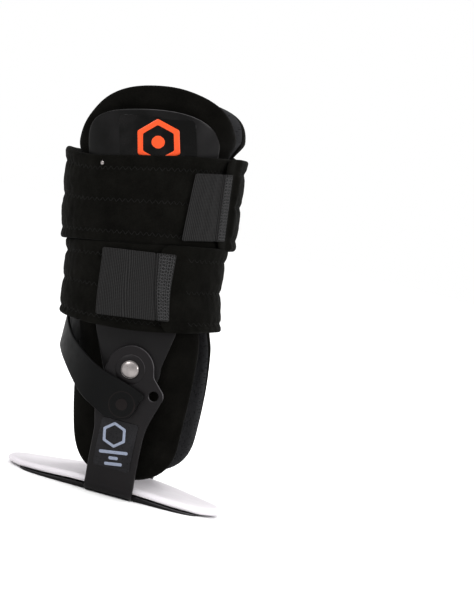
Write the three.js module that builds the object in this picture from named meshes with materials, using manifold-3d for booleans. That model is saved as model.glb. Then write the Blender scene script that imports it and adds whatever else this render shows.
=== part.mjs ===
// Hinged ankle brace for a right foot: a plastic stirrup under the heel, two padded leg shells riveted to its arms,
// a strap behind the Achilles tendon, and two padded wraps that close with hook tabs.
// Millimetres. +X points to the toes, +Y to the inside of the foot, +Z up. The origin is the middle of the stirrup's
// underside, below the hinge pins. The brace stands on its stirrup with the ankle pointed down a little.

import * as THREE from 'three';
import { mergeVertices } from 'three/addons/utils/BufferGeometryUtils.js';
import Module from 'manifold-3d';

const wasm = await Module();
wasm.setup();

// ---------------------------------------------------------------- driving dimensions

const GAP = 0.3; // air between pieces that touch on the real brace
const LATERAL = -1; // outside of the foot, at -Y
const MEDIAL = 1; // inside of the foot, at +Y

const hingeHeight = 78; // hinge pins above the ground
const restFlexion = 14.4; // degrees that the foot points down at rest

// Layers at the hinge, as distances from the middle plane.
const shellInside = 43;
const shellThickness = 2.5;
const spacerThickness = 0.8;
const armThickness = 3;
const shellOutside = shellInside + shellThickness;
const spacerInside = shellOutside + GAP;
const armInside = spacerInside + spacerThickness + GAP;
const armOutside = armInside + armThickness;
const strapInside = armOutside + GAP;
const tendonStrapThickness = 1.8;
const strapOutside = strapInside + tendonStrapThickness;

// Stirrup.
const baseThickness = 2.8;
const baseLength = 115;
const baseHalfWidth = 30;
const armRear = -12.5;
const armFront = 17.5;
const armDiscRadius = 14.4;
const bendRadius = 7; // outside of the bend between base and arm
const armFootHalfWidth = 37.5; // outside of the arms just above the bend
const armFlareTop = 50; // height where the arms become upright
const earHole = { x: 17.5, z: 66, radius: 2.8 };
const earRadius = 6;

// Footbed.
const tapeThickness = 0.6;
const footbedLength = 136;
const footbedHalfWidth = 33;
const footbedThickness = 4.2;

// Fasteners.
const pinRadius = 3;
const washerThickness = 0.6;
const washerOutside = shellInside - 2 * GAP;
const washerInside = washerOutside - washerThickness;
const rivetHeadRadius = 5.4;
const rivetHeadHeight = 2.4;
const button = { x: 0.8, z: 57, radius: 8, height: 2, postRadius: 2.6, flangeRadius: 5 };
const fastenerClearance = 0.3;

// Padding and wraps.
const hookPatchThickness = 0.8;
const padThickness = 6;
const labelThickness = 0.3;
const wrapThickness = 4.5;
const wrapEndThickness = 1.6; // where the end is sewn flat
const tabThickness = 1.2;

// Offsets from the leg shells' inner faces, along the surface normal.
const padOuterOffset = -(GAP + hookPatchThickness + GAP);
const wrapOffset = shellThickness + GAP + labelThickness + GAP;
const secondLayerOffset = wrapOffset + wrapThickness + GAP;

// ---------------------------------------------------------------- small tools

const radians = THREE.MathUtils.degToRad;
const tangent = (degrees) => Math.tan(radians(degrees));

function smoothstep(x, low, high) {
  return THREE.MathUtils.smoothstep(x, low, high);
}

// Numbers from low to high, both included.
function steps(count, low = 0, high = 1) {
  return Array.from({ length: count + 1 }, (_, i) => low + ((high - low) * i) / count);
}

// Reads a smooth curve through stations [position, value, value, ...] at one position.
function alongStations(stations, position) {
  const last = stations.length - 1;
  const at = THREE.MathUtils.clamp(position, stations[0][0], stations[last][0]);
  let i = 0;
  while (i < last - 1 && at > stations[i + 1][0]) i++;
  const [a, b] = [stations[i], stations[i + 1]];
  const [before, after] = [stations[Math.max(i - 1, 0)], stations[Math.min(i + 2, last)]];
  const t = (at - a[0]) / (b[0] - a[0]);
  return a.slice(1).map((value, k) => {
    const slopeA = ((b[k + 1] - before[k + 1]) / (b[0] - before[0])) * (b[0] - a[0]);
    const slopeB = ((after[k + 1] - value) / (after[0] - a[0])) * (b[0] - a[0]);
    const rise = b[k + 1] - value;
    return value + slopeA * t + (3 * rise - 2 * slopeA - slopeB) * t ** 2 + (slopeA + slopeB - 2 * rise) * t ** 3;
  });
}

// A closed geometry whose faces point out, whichever way round they were listed.
function closedGeometry(positions, index) {
  const corner = (i) => new THREE.Vector3().fromArray(positions, 3 * i);
  let volume = 0;
  for (let i = 0; i < index.length; i += 3) {
    volume += corner(index[i]).dot(corner(index[i + 1]).cross(corner(index[i + 2])));
  }
  const facing = volume < 0 ? index.slice().reverse() : index;
  return new THREE.BufferGeometry()
    .setAttribute('position', new THREE.Float32BufferAttribute(positions, 3))
    .setIndex(facing);
}

// A plate between an inner and an outer surface, from a grid of [inner point, outer point] pairs.
function plateFromGrid(grid) {
  const columns = grid[0].length;
  const positions = grid.flat(2).flatMap((point) => point.toArray());
  const inner = (i, j) => 2 * (i * columns + j);
  const outer = (i, j) => inner(i, j) + 1;
  const index = [];
  const quad = (a, b, c, d) => index.push(a, b, c, a, c, d);
  const [lastRow, lastColumn] = [grid.length - 1, columns - 1];
  for (let i = 0; i < lastRow; i++) {
    for (let j = 0; j < lastColumn; j++) {
      quad(outer(i, j), outer(i, j + 1), outer(i + 1, j + 1), outer(i + 1, j));
      quad(inner(i, j), inner(i + 1, j), inner(i + 1, j + 1), inner(i, j + 1));
    }
    quad(outer(i, 0), outer(i + 1, 0), inner(i + 1, 0), inner(i, 0));
    quad(outer(i + 1, lastColumn), outer(i, lastColumn), inner(i, lastColumn), inner(i + 1, lastColumn));
  }
  for (let j = 0; j < lastColumn; j++) {
    quad(outer(0, j + 1), outer(0, j), inner(0, j), inner(0, j + 1));
    quad(outer(lastRow, j), outer(lastRow, j + 1), inner(lastRow, j + 1), inner(lastRow, j));
  }
  return closedGeometry(positions, index);
}

// Left and right edge of a side-view outline at each height.
function outlineRows(shape, heights) {
  const points = shape.getPoints(16);
  return heights.map((z) => {
    const crossings = [];
    points.forEach((a, i) => {
      const b = points[(i + 1) % points.length];
      if (a.y <= z !== b.y <= z) crossings.push(a.x + ((b.x - a.x) * (z - a.y)) / (b.y - a.y));
    });
    return { z, rear: Math.min(...crossings), front: Math.max(...crossings) };
  });
}

// Heights for an outline with round ends: close together near both ends.
function roundEndHeights(low, high, lowRound, highRound, middle) {
  const turn = [8, 25, 45, 66, 90].map(radians);
  const lower = turn.map((a) => low + lowRound * (1 - Math.cos(a)));
  const upper = turn.map((a) => high - highRound * (1 - Math.cos(a))).reverse();
  return [...lower, ...steps(middle, low + lowRound, high - highRound).slice(1, -1), ...upper];
}

function manifoldOf(geometry) {
  const bare = geometry.clone();
  bare.deleteAttribute('normal');
  bare.deleteAttribute('uv');
  const merged = mergeVertices(bare, 1e-4);
  const vertProperties = new Float32Array(merged.attributes.position.array);
  return new wasm.Manifold(
    new wasm.Mesh({ numProp: 3, vertProperties, triVerts: new Uint32Array(merged.index.array) }),
  );
}

function geometryOf(manifold) {
  const mesh = manifold.getMesh();
  return new THREE.BufferGeometry()
    .setAttribute('position', new THREE.BufferAttribute(mesh.vertProperties, 3))
    .setIndex(new THREE.BufferAttribute(mesh.triVerts, 1));
}

// Joins the first geometries and cuts the others away.
function combine(joined, cut) {
  let solid = manifoldOf(joined[0]);
  for (const geometry of joined.slice(1)) solid = solid.add(manifoldOf(geometry));
  for (const geometry of cut) solid = solid.subtract(manifoldOf(geometry));
  return geometryOf(solid);
}

// A turned piece on an axis along Y. Its profile is [radius, distance from the middle plane].
function turned(profile, side, x, z, segments = 20) {
  const points = profile.map(([radius, distance]) => new THREE.Vector2(radius, distance));
  const geometry = new THREE.LatheGeometry(points, segments);
  if (side === LATERAL) geometry.rotateX(Math.PI);
  return closedGeometry(
    Array.from(geometry.translate(x, 0, z).attributes.position.array),
    Array.from(geometry.index.array),
  );
}

function pinHole(radius, side, x, z, segments = 20) {
  return turned([[0, 30], [radius, 30], [radius, 70], [0, 70]], side, x, z, segments);
}

// ---------------------------------------------------------------- shape of the braced leg

// Rear end, front end and half width of the padding's outer face, at heights above the hinge.
const legStations = [
  [-70, -58, 64, 36.8],
  [-40, -50, 56, 41],
  [-10, -44, 48, 42.7],
  [20, -40.6, 43, 43.1],
  [45, -39.4, 40.5, 44.1],
  [65, -38.9, 42.5, 45.1],
  [85, -39.8, 45.5, 45.9],
  [123, -38.6, 52, 47],
  [140, -38.6, 57, 47.6],
  [170, -39, 63, 48.6],
];
const roundness = 2.4; // exponent of the superellipse

function legSection(z) {
  const [rear, front, half] = alongStations(legStations, z);
  return { rear, front, half };
}

// A point on a superellipse section, moved out along its normal.
function offsetPoint(section, x, y, z, offset) {
  const [middle, reach] = [(section.front + section.rear) / 2, (section.front - section.rear) / 2];
  const pull = (value, size) => (Math.sign(value) * Math.abs(value / size) ** (roundness - 1)) / size;
  const normal = new THREE.Vector3(pull(x - middle, reach), pull(y, section.half), 0).normalize();
  return new THREE.Vector3(x, y, z).addScaledVector(normal, offset);
}

// A point on one side of the leg, given where it lies in side view.
function sidePoint(side, x, z, offset) {
  const section = legSection(z);
  const share = Math.abs((2 * x - section.front - section.rear) / (section.front - section.rear));
  const y = side * section.half * (1 - Math.min(share, 0.995) ** roundness) ** (1 / roundness);
  return offsetPoint(section, x, y, z, offset);
}

// A plate on one side of the leg, from its side-view outline and its two offsets.
function legPlate(side, shape, heights, columns, innerOffset, outerOffset) {
  const grid = outlineRows(shape, heights).map(({ z, rear, front }) =>
    steps(columns, rear, front).map((x) => [
      sidePoint(side, x, z, innerOffset),
      sidePoint(side, x, z, outerOffset),
    ]),
  );
  return plateFromGrid(grid);
}

// ---------------------------------------------------------------- materials

const material = (color, roughness, metalness = 0) =>
  new THREE.MeshStandardMaterial({ color, roughness, metalness });
const frameBlack = material(0x2b2a2c, 0.42);
const plushBlack = material(0x101010, 0.95);
const hookGrey = material(0x3a3a3b, 0.8);
const labelBlack = material(0x0c0c0d, 0.2);
const steel = material(0xb9b4b6, 0.3, 1);
const foamWhite = material(0xe9e4e8, 0.6);
const nylonWhite = material(0xd8d8d4, 0.5);

const brace = new THREE.Group();
const legFrame = new THREE.Group(); // its own Z runs up the leg, from the hinge
legFrame.position.z = hingeHeight;
legFrame.rotation.y = -radians(restFlexion);
brace.add(legFrame);

function addPiece(group, name, geometry, finish) {
  const mesh = new THREE.Mesh(geometry, finish);
  mesh.name = name;
  group.add(mesh);
}

// ---------------------------------------------------------------- stirrup

function armOutline() {
  const shape = new THREE.Shape();
  shape.moveTo(armRear, -1);
  shape.lineTo(armFront, -1);
  shape.lineTo(armFront, 38);
  shape.bezierCurveTo(armFront, 47, 20.5, 55, 22.6, 62.6);
  shape.absarc(earHole.x, earHole.z, earRadius, radians(-33), radians(38));
  shape.lineTo(15.2, 76.6);
  shape.absarc(0, hingeHeight, armDiscRadius, radians(8), radians(180));
  shape.bezierCurveTo(-15, 66, -16.5, 58, -15, 50);
  shape.bezierCurveTo(-13.5, 43, armRear, 42, armRear, 34);
  shape.closePath();
  return shape;
}

// Distance of the arm's outer face from the middle plane, above the bend.
function armFace(z) {
  const rise = Math.min((z - bendRadius) / (armFlareTop - bendRadius), 1);
  return armFootHalfWidth + (armOutside - armFootHalfWidth) * (1.62 * rise - 0.62 * rise ** 2.62);
}

// One arm: flat on the base, round the bend, and up to the hinge disc.
function arm(side) {
  const bendCentre = armFootHalfWidth - bendRadius;
  const rows = [];
  const pushRow = (z, y, normalY, normalZ) => rows.push({ z, y, normalY, normalZ });
  pushRow(0, bendCentre - 8, 0, -1);
  for (const turn of steps(5, 0, 90).map(radians)) {
    const [across, up] = [Math.sin(turn), Math.cos(turn)];
    pushRow(bendRadius * (1 - up), bendCentre + bendRadius * across, across, -up);
  }
  const discHeights = [15, 30, 45, 60, 74, 86].map((a) => hingeHeight + armDiscRadius * Math.sin(radians(a)));
  const heights = [14, 22, 30, 38, 44, 50, 55, 59, 62.5, 66, 69.7, 73, 76.6, 79.2, ...discHeights];
  for (const z of heights) {
    const slope = (armFace(z + 0.5) - armFace(z - 0.5)) / Math.hypot(1, armFace(z + 0.5) - armFace(z - 0.5));
    pushRow(z, armFace(z), Math.sqrt(1 - slope ** 2), -slope);
  }
  const edges = outlineRows(armOutline(), rows.map((row) => Math.min(row.z, 200)));
  const grid = rows.map(({ z, y, normalY, normalZ }, i) =>
    steps(4, edges[i].rear, edges[i].front).map((x) => [
      new THREE.Vector3(x, side * (y - armThickness * normalY), z - armThickness * normalZ),
      new THREE.Vector3(x, side * y, z),
    ]),
  );
  return plateFromGrid(grid);
}

function stirrup() {
  const sole = new THREE.Shape();
  sole.absellipse(0, 0, baseLength / 2, baseHalfWidth, 0, 2 * Math.PI);
  const base = new THREE.ExtrudeGeometry(sole, { depth: baseThickness, bevelEnabled: false, curveSegments: 24 });
  const holes = [LATERAL, MEDIAL].flatMap((side) => [
    pinHole(pinRadius + fastenerClearance, side, 0, hingeHeight),
    pinHole(earHole.radius, side, earHole.x, earHole.z),
    pinHole(button.postRadius + fastenerClearance, side, button.x, button.z, 16),
  ]);
  return combine([base, arm(LATERAL), arm(MEDIAL)], holes);
}

addPiece(brace, 'stirrup_frame', stirrup(), frameBlack);

// ---------------------------------------------------------------- footbed and its tape

// An oval slab, from a profile of [share of the full size, height].
function ovalSlab(length, halfWidth, profile, segments) {
  const points = profile.map(([share, height]) => new THREE.Vector2(share, height));
  const geometry = new THREE.LatheGeometry(points, segments);
  geometry.rotateX(Math.PI / 2).scale(length / 2, halfWidth, 1);
  return closedGeometry(Array.from(geometry.attributes.position.array), Array.from(geometry.index.array));
}

const tapeBottom = baseThickness + GAP;
const tapeTop = tapeBottom + tapeThickness;
const footbedBottom = tapeTop + GAP;
const footbedTop = footbedBottom + footbedThickness;
const tapeProfile = [[0, tapeBottom], [1, tapeBottom], [1, tapeTop], [0, tapeTop]];
const footbedProfile = [
  [0, footbedBottom],
  [0.93, footbedBottom],
  [0.985, footbedBottom + 0.9],
  [1, footbedBottom + 2.1],
  [0.99, footbedTop - 0.9],
  [0.955, footbedTop],
  [0, footbedTop],
];
addPiece(brace, 'footbed_tape', ovalSlab(baseLength - 24, 22, tapeProfile, 28), nylonWhite);
addPiece(brace, 'footbed', ovalSlab(footbedLength, footbedHalfWidth, footbedProfile, 40), foamWhite);

// ---------------------------------------------------------------- strap behind the tendon

// Lower and upper edge of the strap at places along X, and the path of its outer face in plan.
const tendonStrapRear = -51.2;
const strapEdges = [
  [tendonStrapRear, 78.5, 99],
  [-49, 77.6, 97],
  [-46, 75, 93.6],
  [-40, 70, 88],
  [-33, 63.8, 83.6],
  [-25, 57, 79],
  [-16, 51.6, 74.6],
  [-8, 47.6, 72],
  [0.8, 44.8, 69.2],
];
const tendonStrapEnd = 12.2; // radius of the rounded end round each button

function strapPath(side) {
  const straight = [12.9, 11.4, 8.6, 4.8, 0.8, -6, -13].map((x) => new THREE.Vector2(x, side * strapOutside));
  const bend = new THREE.CubicBezierCurve(
    new THREE.Vector2(-20, side * strapOutside),
    new THREE.Vector2(-29, side * 50.5),
    new THREE.Vector2(tendonStrapRear, side * 29),
    new THREE.Vector2(tendonStrapRear, 0),
  );
  return [...straight, ...bend.getSpacedPoints(16)];
}

function tendonStrap() {
  const path = [...strapPath(LATERAL), ...strapPath(MEDIAL).reverse().slice(1)];
  const grid = path.map((point, i) => {
    const before = path[Math.max(i - 1, 0)];
    const after = path[Math.min(i + 1, path.length - 1)];
    const along = after.clone().sub(before).normalize();
    const inward = new THREE.Vector2(-along.y, along.x).multiplyScalar(-tendonStrapThickness);
    let [low, high] = alongStations(strapEdges, point.x);
    if (point.x > button.x) {
      const half = Math.sqrt(Math.max(tendonStrapEnd ** 2 - (point.x - button.x) ** 2, 0.5));
      [low, high] = [button.z - half, button.z + half];
    }
    return steps(4, low, high).map((z) => [
      new THREE.Vector3(point.x + inward.x, point.y + inward.y, z),
      new THREE.Vector3(point.x, point.y, z),
    ]);
  });
  const holes = [LATERAL, MEDIAL].map((side) =>
    pinHole(button.postRadius + fastenerClearance, side, button.x, button.z, 16),
  );
  return combine([plateFromGrid(grid)], holes);
}

addPiece(brace, 'tendon_strap', tendonStrap(), frameBlack);

// ---------------------------------------------------------------- pieces at each hinge

function hingeRivet(side) {
  const seat = armOutside + GAP;
  return turned(
    [
      [0, washerInside],
      [pinRadius, washerInside],
      [pinRadius, seat],
      [rivetHeadRadius, seat],
      [rivetHeadRadius, seat + 0.7],
      [rivetHeadRadius * 0.86, seat + rivetHeadHeight * 0.66],
      [rivetHeadRadius * 0.5, seat + rivetHeadHeight * 0.93],
      [0, seat + rivetHeadHeight],
    ],
    side, 0, 0, 24,
  );
}

function ring(side, innerRadius, outerRadius, near, far) {
  const profile = [[innerRadius, near], [outerRadius, near], [outerRadius, far], [innerRadius, far], [innerRadius, near]];
  return turned(profile, side, 0, 0, 20);
}

function strapButton(side) {
  const seat = strapOutside + GAP;
  const flange = armInside - GAP;
  return turned(
    [
      [0, flange - 1],
      [button.flangeRadius, flange - 1],
      [button.flangeRadius, flange],
      [button.postRadius, flange],
      [button.postRadius, seat],
      [button.radius, seat],
      [button.radius, seat + 0.8],
      [button.radius * 0.88, seat + button.height * 0.8],
      [button.radius * 0.5, seat + button.height],
      [0, seat + button.height],
    ],
    side, button.x, button.z, 24,
  );
}

for (const [name, side] of [['lateral', LATERAL], ['medial', MEDIAL]]) {
  const pins = new THREE.Group();
  pins.position.z = hingeHeight;
  brace.add(pins);
  addPiece(pins, `${name}_hinge_rivet`, hingeRivet(side), steel);
  const spacer = ring(side, pinRadius + fastenerClearance, 9, spacerInside, spacerInside + spacerThickness);
  addPiece(pins, `${name}_hinge_spacer`, spacer, nylonWhite);
  const washer = ring(side, pinRadius + fastenerClearance, 6.5, washerInside, washerOutside);
  addPiece(pins, `${name}_hinge_washer`, washer, steel);
  addPiece(brace, `${name}_strap_button`, strapButton(side), frameBlack);
}

// A film on the outside of the lateral arm that marks the outer side of the brace.
function armLabel() {
  const heights = [20, 26, 32, 38, 43];
  const grid = heights.map((z) =>
    steps(2, armRear + 3.5, armFront - 4).map((x) => [
      new THREE.Vector3(x, -(armFace(z) + GAP), z),
      new THREE.Vector3(x, -(armFace(z) + GAP + labelThickness), z),
    ]),
  );
  return plateFromGrid(grid);
}
addPiece(brace, 'arm_label', armLabel(), labelBlack);

// ---------------------------------------------------------------- leg shells, pads and what joins them

function shellOutline() {
  const shape = new THREE.Shape();
  shape.moveTo(-17, 0);
  shape.lineTo(-21.5, 24);
  shape.lineTo(-26.4, 134);
  shape.bezierCurveTo(-27, 149, -22, 154.2, 0, 154.2);
  shape.bezierCurveTo(33, 154.2, 49.5, 148, 48.8, 132);
  shape.lineTo(24.5, 19);
  shape.lineTo(16.9, 0);
  shape.absarc(0, 0, 17, 0, -Math.PI, true);
  return shape;
}

function padOutline() {
  const shape = new THREE.Shape();
  shape.moveTo(-32.4, 128);
  shape.bezierCurveTo(-32.4, 156, -21, 168.3, 9, 168.3);
  shape.bezierCurveTo(40, 168.3, 58, 158, 55.6, 134);
  shape.bezierCurveTo(53, 110, 46, 88, 38.5, 62);
  shape.bezierCurveTo(35, 48, 36.5, 30, 35.6, 19);
  shape.bezierCurveTo(33.8, -8, 29, -30, 24.6, -48);
  shape.bezierCurveTo(20.6, -62, 11, -67, -1, -67);
  shape.bezierCurveTo(-22, -67, -34.4, -58, -36.4, -36);
  shape.bezierCurveTo(-39, -12, -36.8, 8, -35.6, 24);
  shape.closePath();
  return shape;
}

const shellHeights = [
  ...[8, 28, 50, 72, 90].map((a) => -17 * Math.cos(radians(a))),
  9, 16.5, 24, 42, 62, 82, 102, 120,
  ...[90, 66, 46, 28, 10].map((a) => 134 + 20.2 * Math.cos(radians(a))),
];
const padHeights = roundEndHeights(-67, 168.3, 30, 36, 9);

const anchorRivet = { x: -15, upperZ: 122.4, lowerZ: 66.5, headRadius: 2.2, shankRadius: 1, flangeRadius: 2.4 };

// A small rivet that pins a wrap to the outer shell, its head sunk in the padding.
function anchorRivetAt(z, spare) {
  const middle = sidePoint(LATERAL, anchorRivet.x, z, 0);
  const [headOut, headIn] = [wrapOffset + wrapThickness - 0.6, wrapOffset + wrapThickness - 1.6];
  const [flangeOut, flangeIn] = [-GAP, -GAP - 0.6];
  const profile = [
    [0, flangeIn - spare],
    [anchorRivet.flangeRadius + spare, flangeIn - spare],
    [anchorRivet.flangeRadius + spare, flangeOut + spare],
    [anchorRivet.shankRadius + spare, flangeOut + spare],
    [anchorRivet.shankRadius + spare, headIn - spare],
    [anchorRivet.headRadius + spare, headIn - spare],
    [anchorRivet.headRadius + spare, headOut + 10 * spare],
    [0, headOut + 10 * spare],
  ].map(([radius, distance]) => new THREE.Vector2(radius, distance));
  const lathe = new THREE.LatheGeometry(profile, 12);
  const outward = sidePoint(LATERAL, anchorRivet.x, z, 1).sub(middle);
  lathe.applyQuaternion(new THREE.Quaternion().setFromUnitVectors(new THREE.Vector3(0, 1, 0), outward));
  lathe.translate(middle.x, middle.y, middle.z);
  return closedGeometry(Array.from(lathe.attributes.position.array), Array.from(lathe.index.array));
}

function anchorHoles() {
  return [anchorRivet.upperZ, anchorRivet.lowerZ].map((z) => anchorRivetAt(z, GAP));
}

function rectanglePlate(side, rear, front, low, high, innerOffset, outerOffset, columns = 4, rows = 4) {
  const shape = new THREE.Shape();
  shape.moveTo(rear, low - 1);
  shape.lineTo(front, low - 1);
  shape.lineTo(front, high + 1);
  shape.lineTo(rear, high + 1);
  shape.closePath();
  return legPlate(side, shape, steps(rows, low, high), columns, innerOffset, outerOffset);
}

for (const [name, side] of [['lateral', LATERAL], ['medial', MEDIAL]]) {
  const onlyLateral = side === LATERAL ? anchorHoles() : [];
  const pinCut = pinHole(pinRadius + fastenerClearance, side, 0, 0);
  const shell = legPlate(side, shellOutline(), shellHeights, 10, 0, shellThickness);
  addPiece(legFrame, `${name}_shell`, combine([shell], [pinCut, ...onlyLateral]), frameBlack);

  const pad = legPlate(side, padOutline(), padHeights, 10, padOuterOffset - padThickness, padOuterOffset);
  addPiece(legFrame, `${name}_pad`, combine([pad], onlyLateral), plushBlack);

  const patchIn = -GAP - hookPatchThickness;
  const lowPatch = rectanglePlate(side, -11, 17, 26, 56, patchIn, -GAP, 3, 2);
  addPiece(legFrame, `${name}_lower_pad_hook`, lowPatch, hookGrey);
  const highPatch = rectanglePlate(side, -10, 30, 84, 116, patchIn, -GAP, 5, 2);
  addPiece(legFrame, `${name}_upper_pad_hook`, highPatch, hookGrey);

  const labelIn = shellThickness + GAP;
  const label = rectanglePlate(side, -6.5, 37, 112, 147, labelIn, labelIn + labelThickness, 6, 3);
  addPiece(legFrame, `${name}_shell_label`, label, labelBlack);
}
addPiece(legFrame, 'upper_wrap_rivet', anchorRivetAt(anchorRivet.upperZ, 0), steel);
addPiece(legFrame, 'lower_wrap_rivet', anchorRivetAt(anchorRivet.lowerZ, 0), steel);

// ---------------------------------------------------------------- wraps and hook tabs

// Each wrap runs once round the leg, from under its own end. Angles start at the shin and go round the outside of the
// leg first. Its edges slope down to the front, and the upper one stands higher behind and on the inside.
const upperWrap = {
  low: 75.2, lowSlope: 5.4, lowCurve: 0, high: 126.6, highSlope: 1.5, rearRise: 7.4,
  start: 8, end: [391, 391], startRamp: 348,
  standOff: (z) => ({ rear: 2 + 0.04 * (126.6 - z), front: 0.03 * (126.6 - z), side: 0 }),
  tab: { end: [414.5, 420.5], height: 40, middle: 96, slope: 0 },
  patchWidth: 9,
};
const lowerWrap = {
  low: 21.5, lowSlope: 4.9, lowCurve: 0.0025, high: 73.8, highSlope: 5.4, rearRise: 0,
  start: 24, end: [435.5, 429.5], startRamp: 350,
  standOff: (z) => ({ rear: 1.2 + 0.065 * (72 - z), front: -0.07 * (72 - z), side: 0.1 * (72 - z) }),
  tab: { end: [467.5, 468.5], height: 39.5, middle: 50, slope: 7.5 },
  patchWidth: 10,
};
const slopeCentre = 5; // X where the given edge heights apply

// A point on a wrap's path. The angle is in degrees and grows past 360 over the second layer.
function wrapPoint(wrap, angle, z, offset) {
  const section = legSection(z);
  const { rear, front, side } = wrap.standOff(z);
  section.rear -= rear;
  section.front += front;
  section.half += side;
  const [c, s] = [Math.cos(radians(angle)), Math.sin(radians(angle))];
  const curved = (value) => Math.sign(value) * Math.abs(value) ** (2 / roundness);
  const reach = (section.front - section.rear) / 2;
  const x = (section.front + section.rear) / 2 + reach * curved(c);
  return offsetPoint(section, x, -section.half * curved(s), z, offset);
}

function wrapHeight(wrap, angle, share) {
  const { x } = wrapPoint(wrap, angle, (wrap.low + wrap.high) / 2, 0);
  const along = x - slopeCentre;
  const low = wrap.low - along * tangent(wrap.lowSlope) + wrap.lowCurve * along ** 2;
  const behind = smoothstep(angle, 112, 178) * (1 - smoothstep(angle, 305, 345));
  const high = wrap.high - along * tangent(wrap.highSlope) + wrap.rearRise * behind;
  return low + (high - low) * share;
}

// Angle of a slanted edge at a share of the wrap's height: the first value at the top, the second at the bottom.
const slanted = ([top, bottom], share) => bottom + (top - bottom) * share;

function wrapStrip(wrap) {
  const shares = steps(4);
  const patchShare = wrap.patchWidth / (wrap.end[0] - wrap.start);
  const stations = [...steps(54, 0, 1 - 1.6 * patchShare), 1 - 1.2 * patchShare, 1 - 0.5 * patchShare, 1];
  const grid = stations.map((along) =>
    shares.map((share) => {
      const end = slanted(wrap.end, share);
      const angle = wrap.start + (end - wrap.start) * along;
      const z = wrapHeight(wrap, angle, share);
      const offset = wrapOffset + (secondLayerOffset - wrapOffset) * smoothstep(angle, wrap.startRamp, 360 + wrap.start - 4);
      const flat = smoothstep(along, 1 - 1.6 * patchShare, 1 - 1.2 * patchShare);
      const thickness = wrapThickness + (wrapEndThickness - wrapThickness) * flat;
      return [wrapPoint(wrap, angle, z, offset), wrapPoint(wrap, angle, z, offset + thickness)];
    }),
  );
  return plateFromGrid(grid);
}

// A band on top of the second layer between two slanted edges, each given as [top angle, bottom angle].
function wrapBand(wrap, from, to, heights, offset, thickness, columns) {
  const grid = steps(columns).map((along) =>
    heights.map(({ share, height }) => {
      const angle = slanted(from, share) * (1 - along) + slanted(to, share) * along;
      const z = height ? height(angle) : wrapHeight(wrap, angle, share);
      return [wrapPoint(wrap, angle, z, offset), wrapPoint(wrap, angle, z, offset + thickness)];
    }),
  );
  return plateFromGrid(grid);
}

// Heights of a tab's edges, which slope their own way. Its share says where it meets the wrap's slanted end.
function tabHeights(wrap) {
  const { height, middle, slope } = wrap.tab;
  return steps(3).map((share) => ({
    share: 0.11 + 0.78 * share,
    height: (angle) => {
      const { x } = wrapPoint(wrap, angle, middle, 0);
      return middle - (x - slopeCentre) * tangent(slope) + (share - 0.5) * height;
    },
  }));
}

for (const [name, wrap] of [['upper', upperWrap], ['lower', lowerWrap]]) {
  const strip = combine([wrapStrip(wrap)], anchorHoles());
  addPiece(legFrame, `${name}_wrap`, strip, plushBlack);

  const patchStart = wrap.end.map((angle) => angle - wrap.patchWidth + 0.6);
  const patchEnd = wrap.end.map((angle) => angle - 0.4);
  const patchHeights = steps(3, 0.12, 0.88).map((share) => ({ share }));
  const patchOffset = secondLayerOffset + wrapEndThickness + GAP;
  const patch = wrapBand(wrap, patchStart, patchEnd, patchHeights, patchOffset, 0.8, 2);
  addPiece(legFrame, `${name}_end_patch`, patch, hookGrey);

  const tabStart = wrap.end.map((angle) => angle + 0.9);
  const tab = wrapBand(wrap, tabStart, wrap.tab.end, tabHeights(wrap), secondLayerOffset, tabThickness, 6);
  addPiece(legFrame, `${name}_hook_tab`, tab, hookGrey);
}

export default brace;
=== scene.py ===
"""Looks of a hinged ankle brace for a right foot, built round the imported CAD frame.

Shapes are worked out in millimetres and turned into metres when a mesh is made. The brace's side views are drawn in the
leg's own frame, whose Z runs up the leg from the hinge, and then laid round the leg.
"""

import math

import bmesh
import bpy
import numpy as np
from mathutils import Matrix, Vector, noise


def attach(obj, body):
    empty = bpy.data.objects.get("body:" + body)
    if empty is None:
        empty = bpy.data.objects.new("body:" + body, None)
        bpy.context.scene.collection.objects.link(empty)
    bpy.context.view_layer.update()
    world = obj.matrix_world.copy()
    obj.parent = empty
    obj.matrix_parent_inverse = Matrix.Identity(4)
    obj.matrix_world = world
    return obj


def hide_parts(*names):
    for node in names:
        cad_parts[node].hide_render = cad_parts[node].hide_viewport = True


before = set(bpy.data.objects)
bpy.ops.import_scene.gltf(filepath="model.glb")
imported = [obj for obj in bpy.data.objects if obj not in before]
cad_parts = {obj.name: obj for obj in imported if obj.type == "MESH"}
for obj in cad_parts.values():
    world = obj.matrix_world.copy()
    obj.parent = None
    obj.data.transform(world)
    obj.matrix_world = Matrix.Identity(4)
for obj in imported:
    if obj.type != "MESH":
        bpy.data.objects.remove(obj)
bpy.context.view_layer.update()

LATERAL, MEDIAL = -1, 1
MM = 0.001

# ---------------------------------------------------------------- sizes shared with the CAD part, in mm

HINGE_HEIGHT = 78.0
REST_FLEXION = math.radians(14.4)
ARM_OUTSIDE = 49.9
STRAP_THICKNESS, STRAP_OUTSIDE, STRAP_REAR, STRAP_END = 1.8, 52.0, 52.0, 12.2
ARM_REAR, ARM_FRONT, DISC_RADIUS = -12.5, 17.5, 14.4
BEND_RADIUS, ARM_FOOT, FLARE_TOP, ARM_THICKNESS = 7.0, 37.5, 50.0, 3.0
HINGE_BORE, BUTTON_BORE = 3.3, 2.9
EAR_X, EAR_Z, EAR_BORE = 17.5, 66.0, 2.8
BUTTON_X, BUTTON_Z = 0.8, 57.0
BASE_THICKNESS, FOOTBED_BASE = 2.8, 4.0
SHELL_THICKNESS, SHELL_INSIDE_AT_HINGE = 2.5, 43.0
PAD_OUTER, PAD_THICKNESS = -1.4, 6.0
PAD_HOOK_INNER, PAD_HOOK_OUTER = -1.1, -0.3
LABEL_BACK, LABEL_FACE, MARK_HEIGHT = 2.8, 3.1, 0.16
WRAP_OFFSET, WRAP_THICKNESS = 3.4, 4.5
SECOND_LAYER = WRAP_OFFSET + WRAP_THICKNESS + 0.3
ROUNDNESS = 2.4

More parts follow.
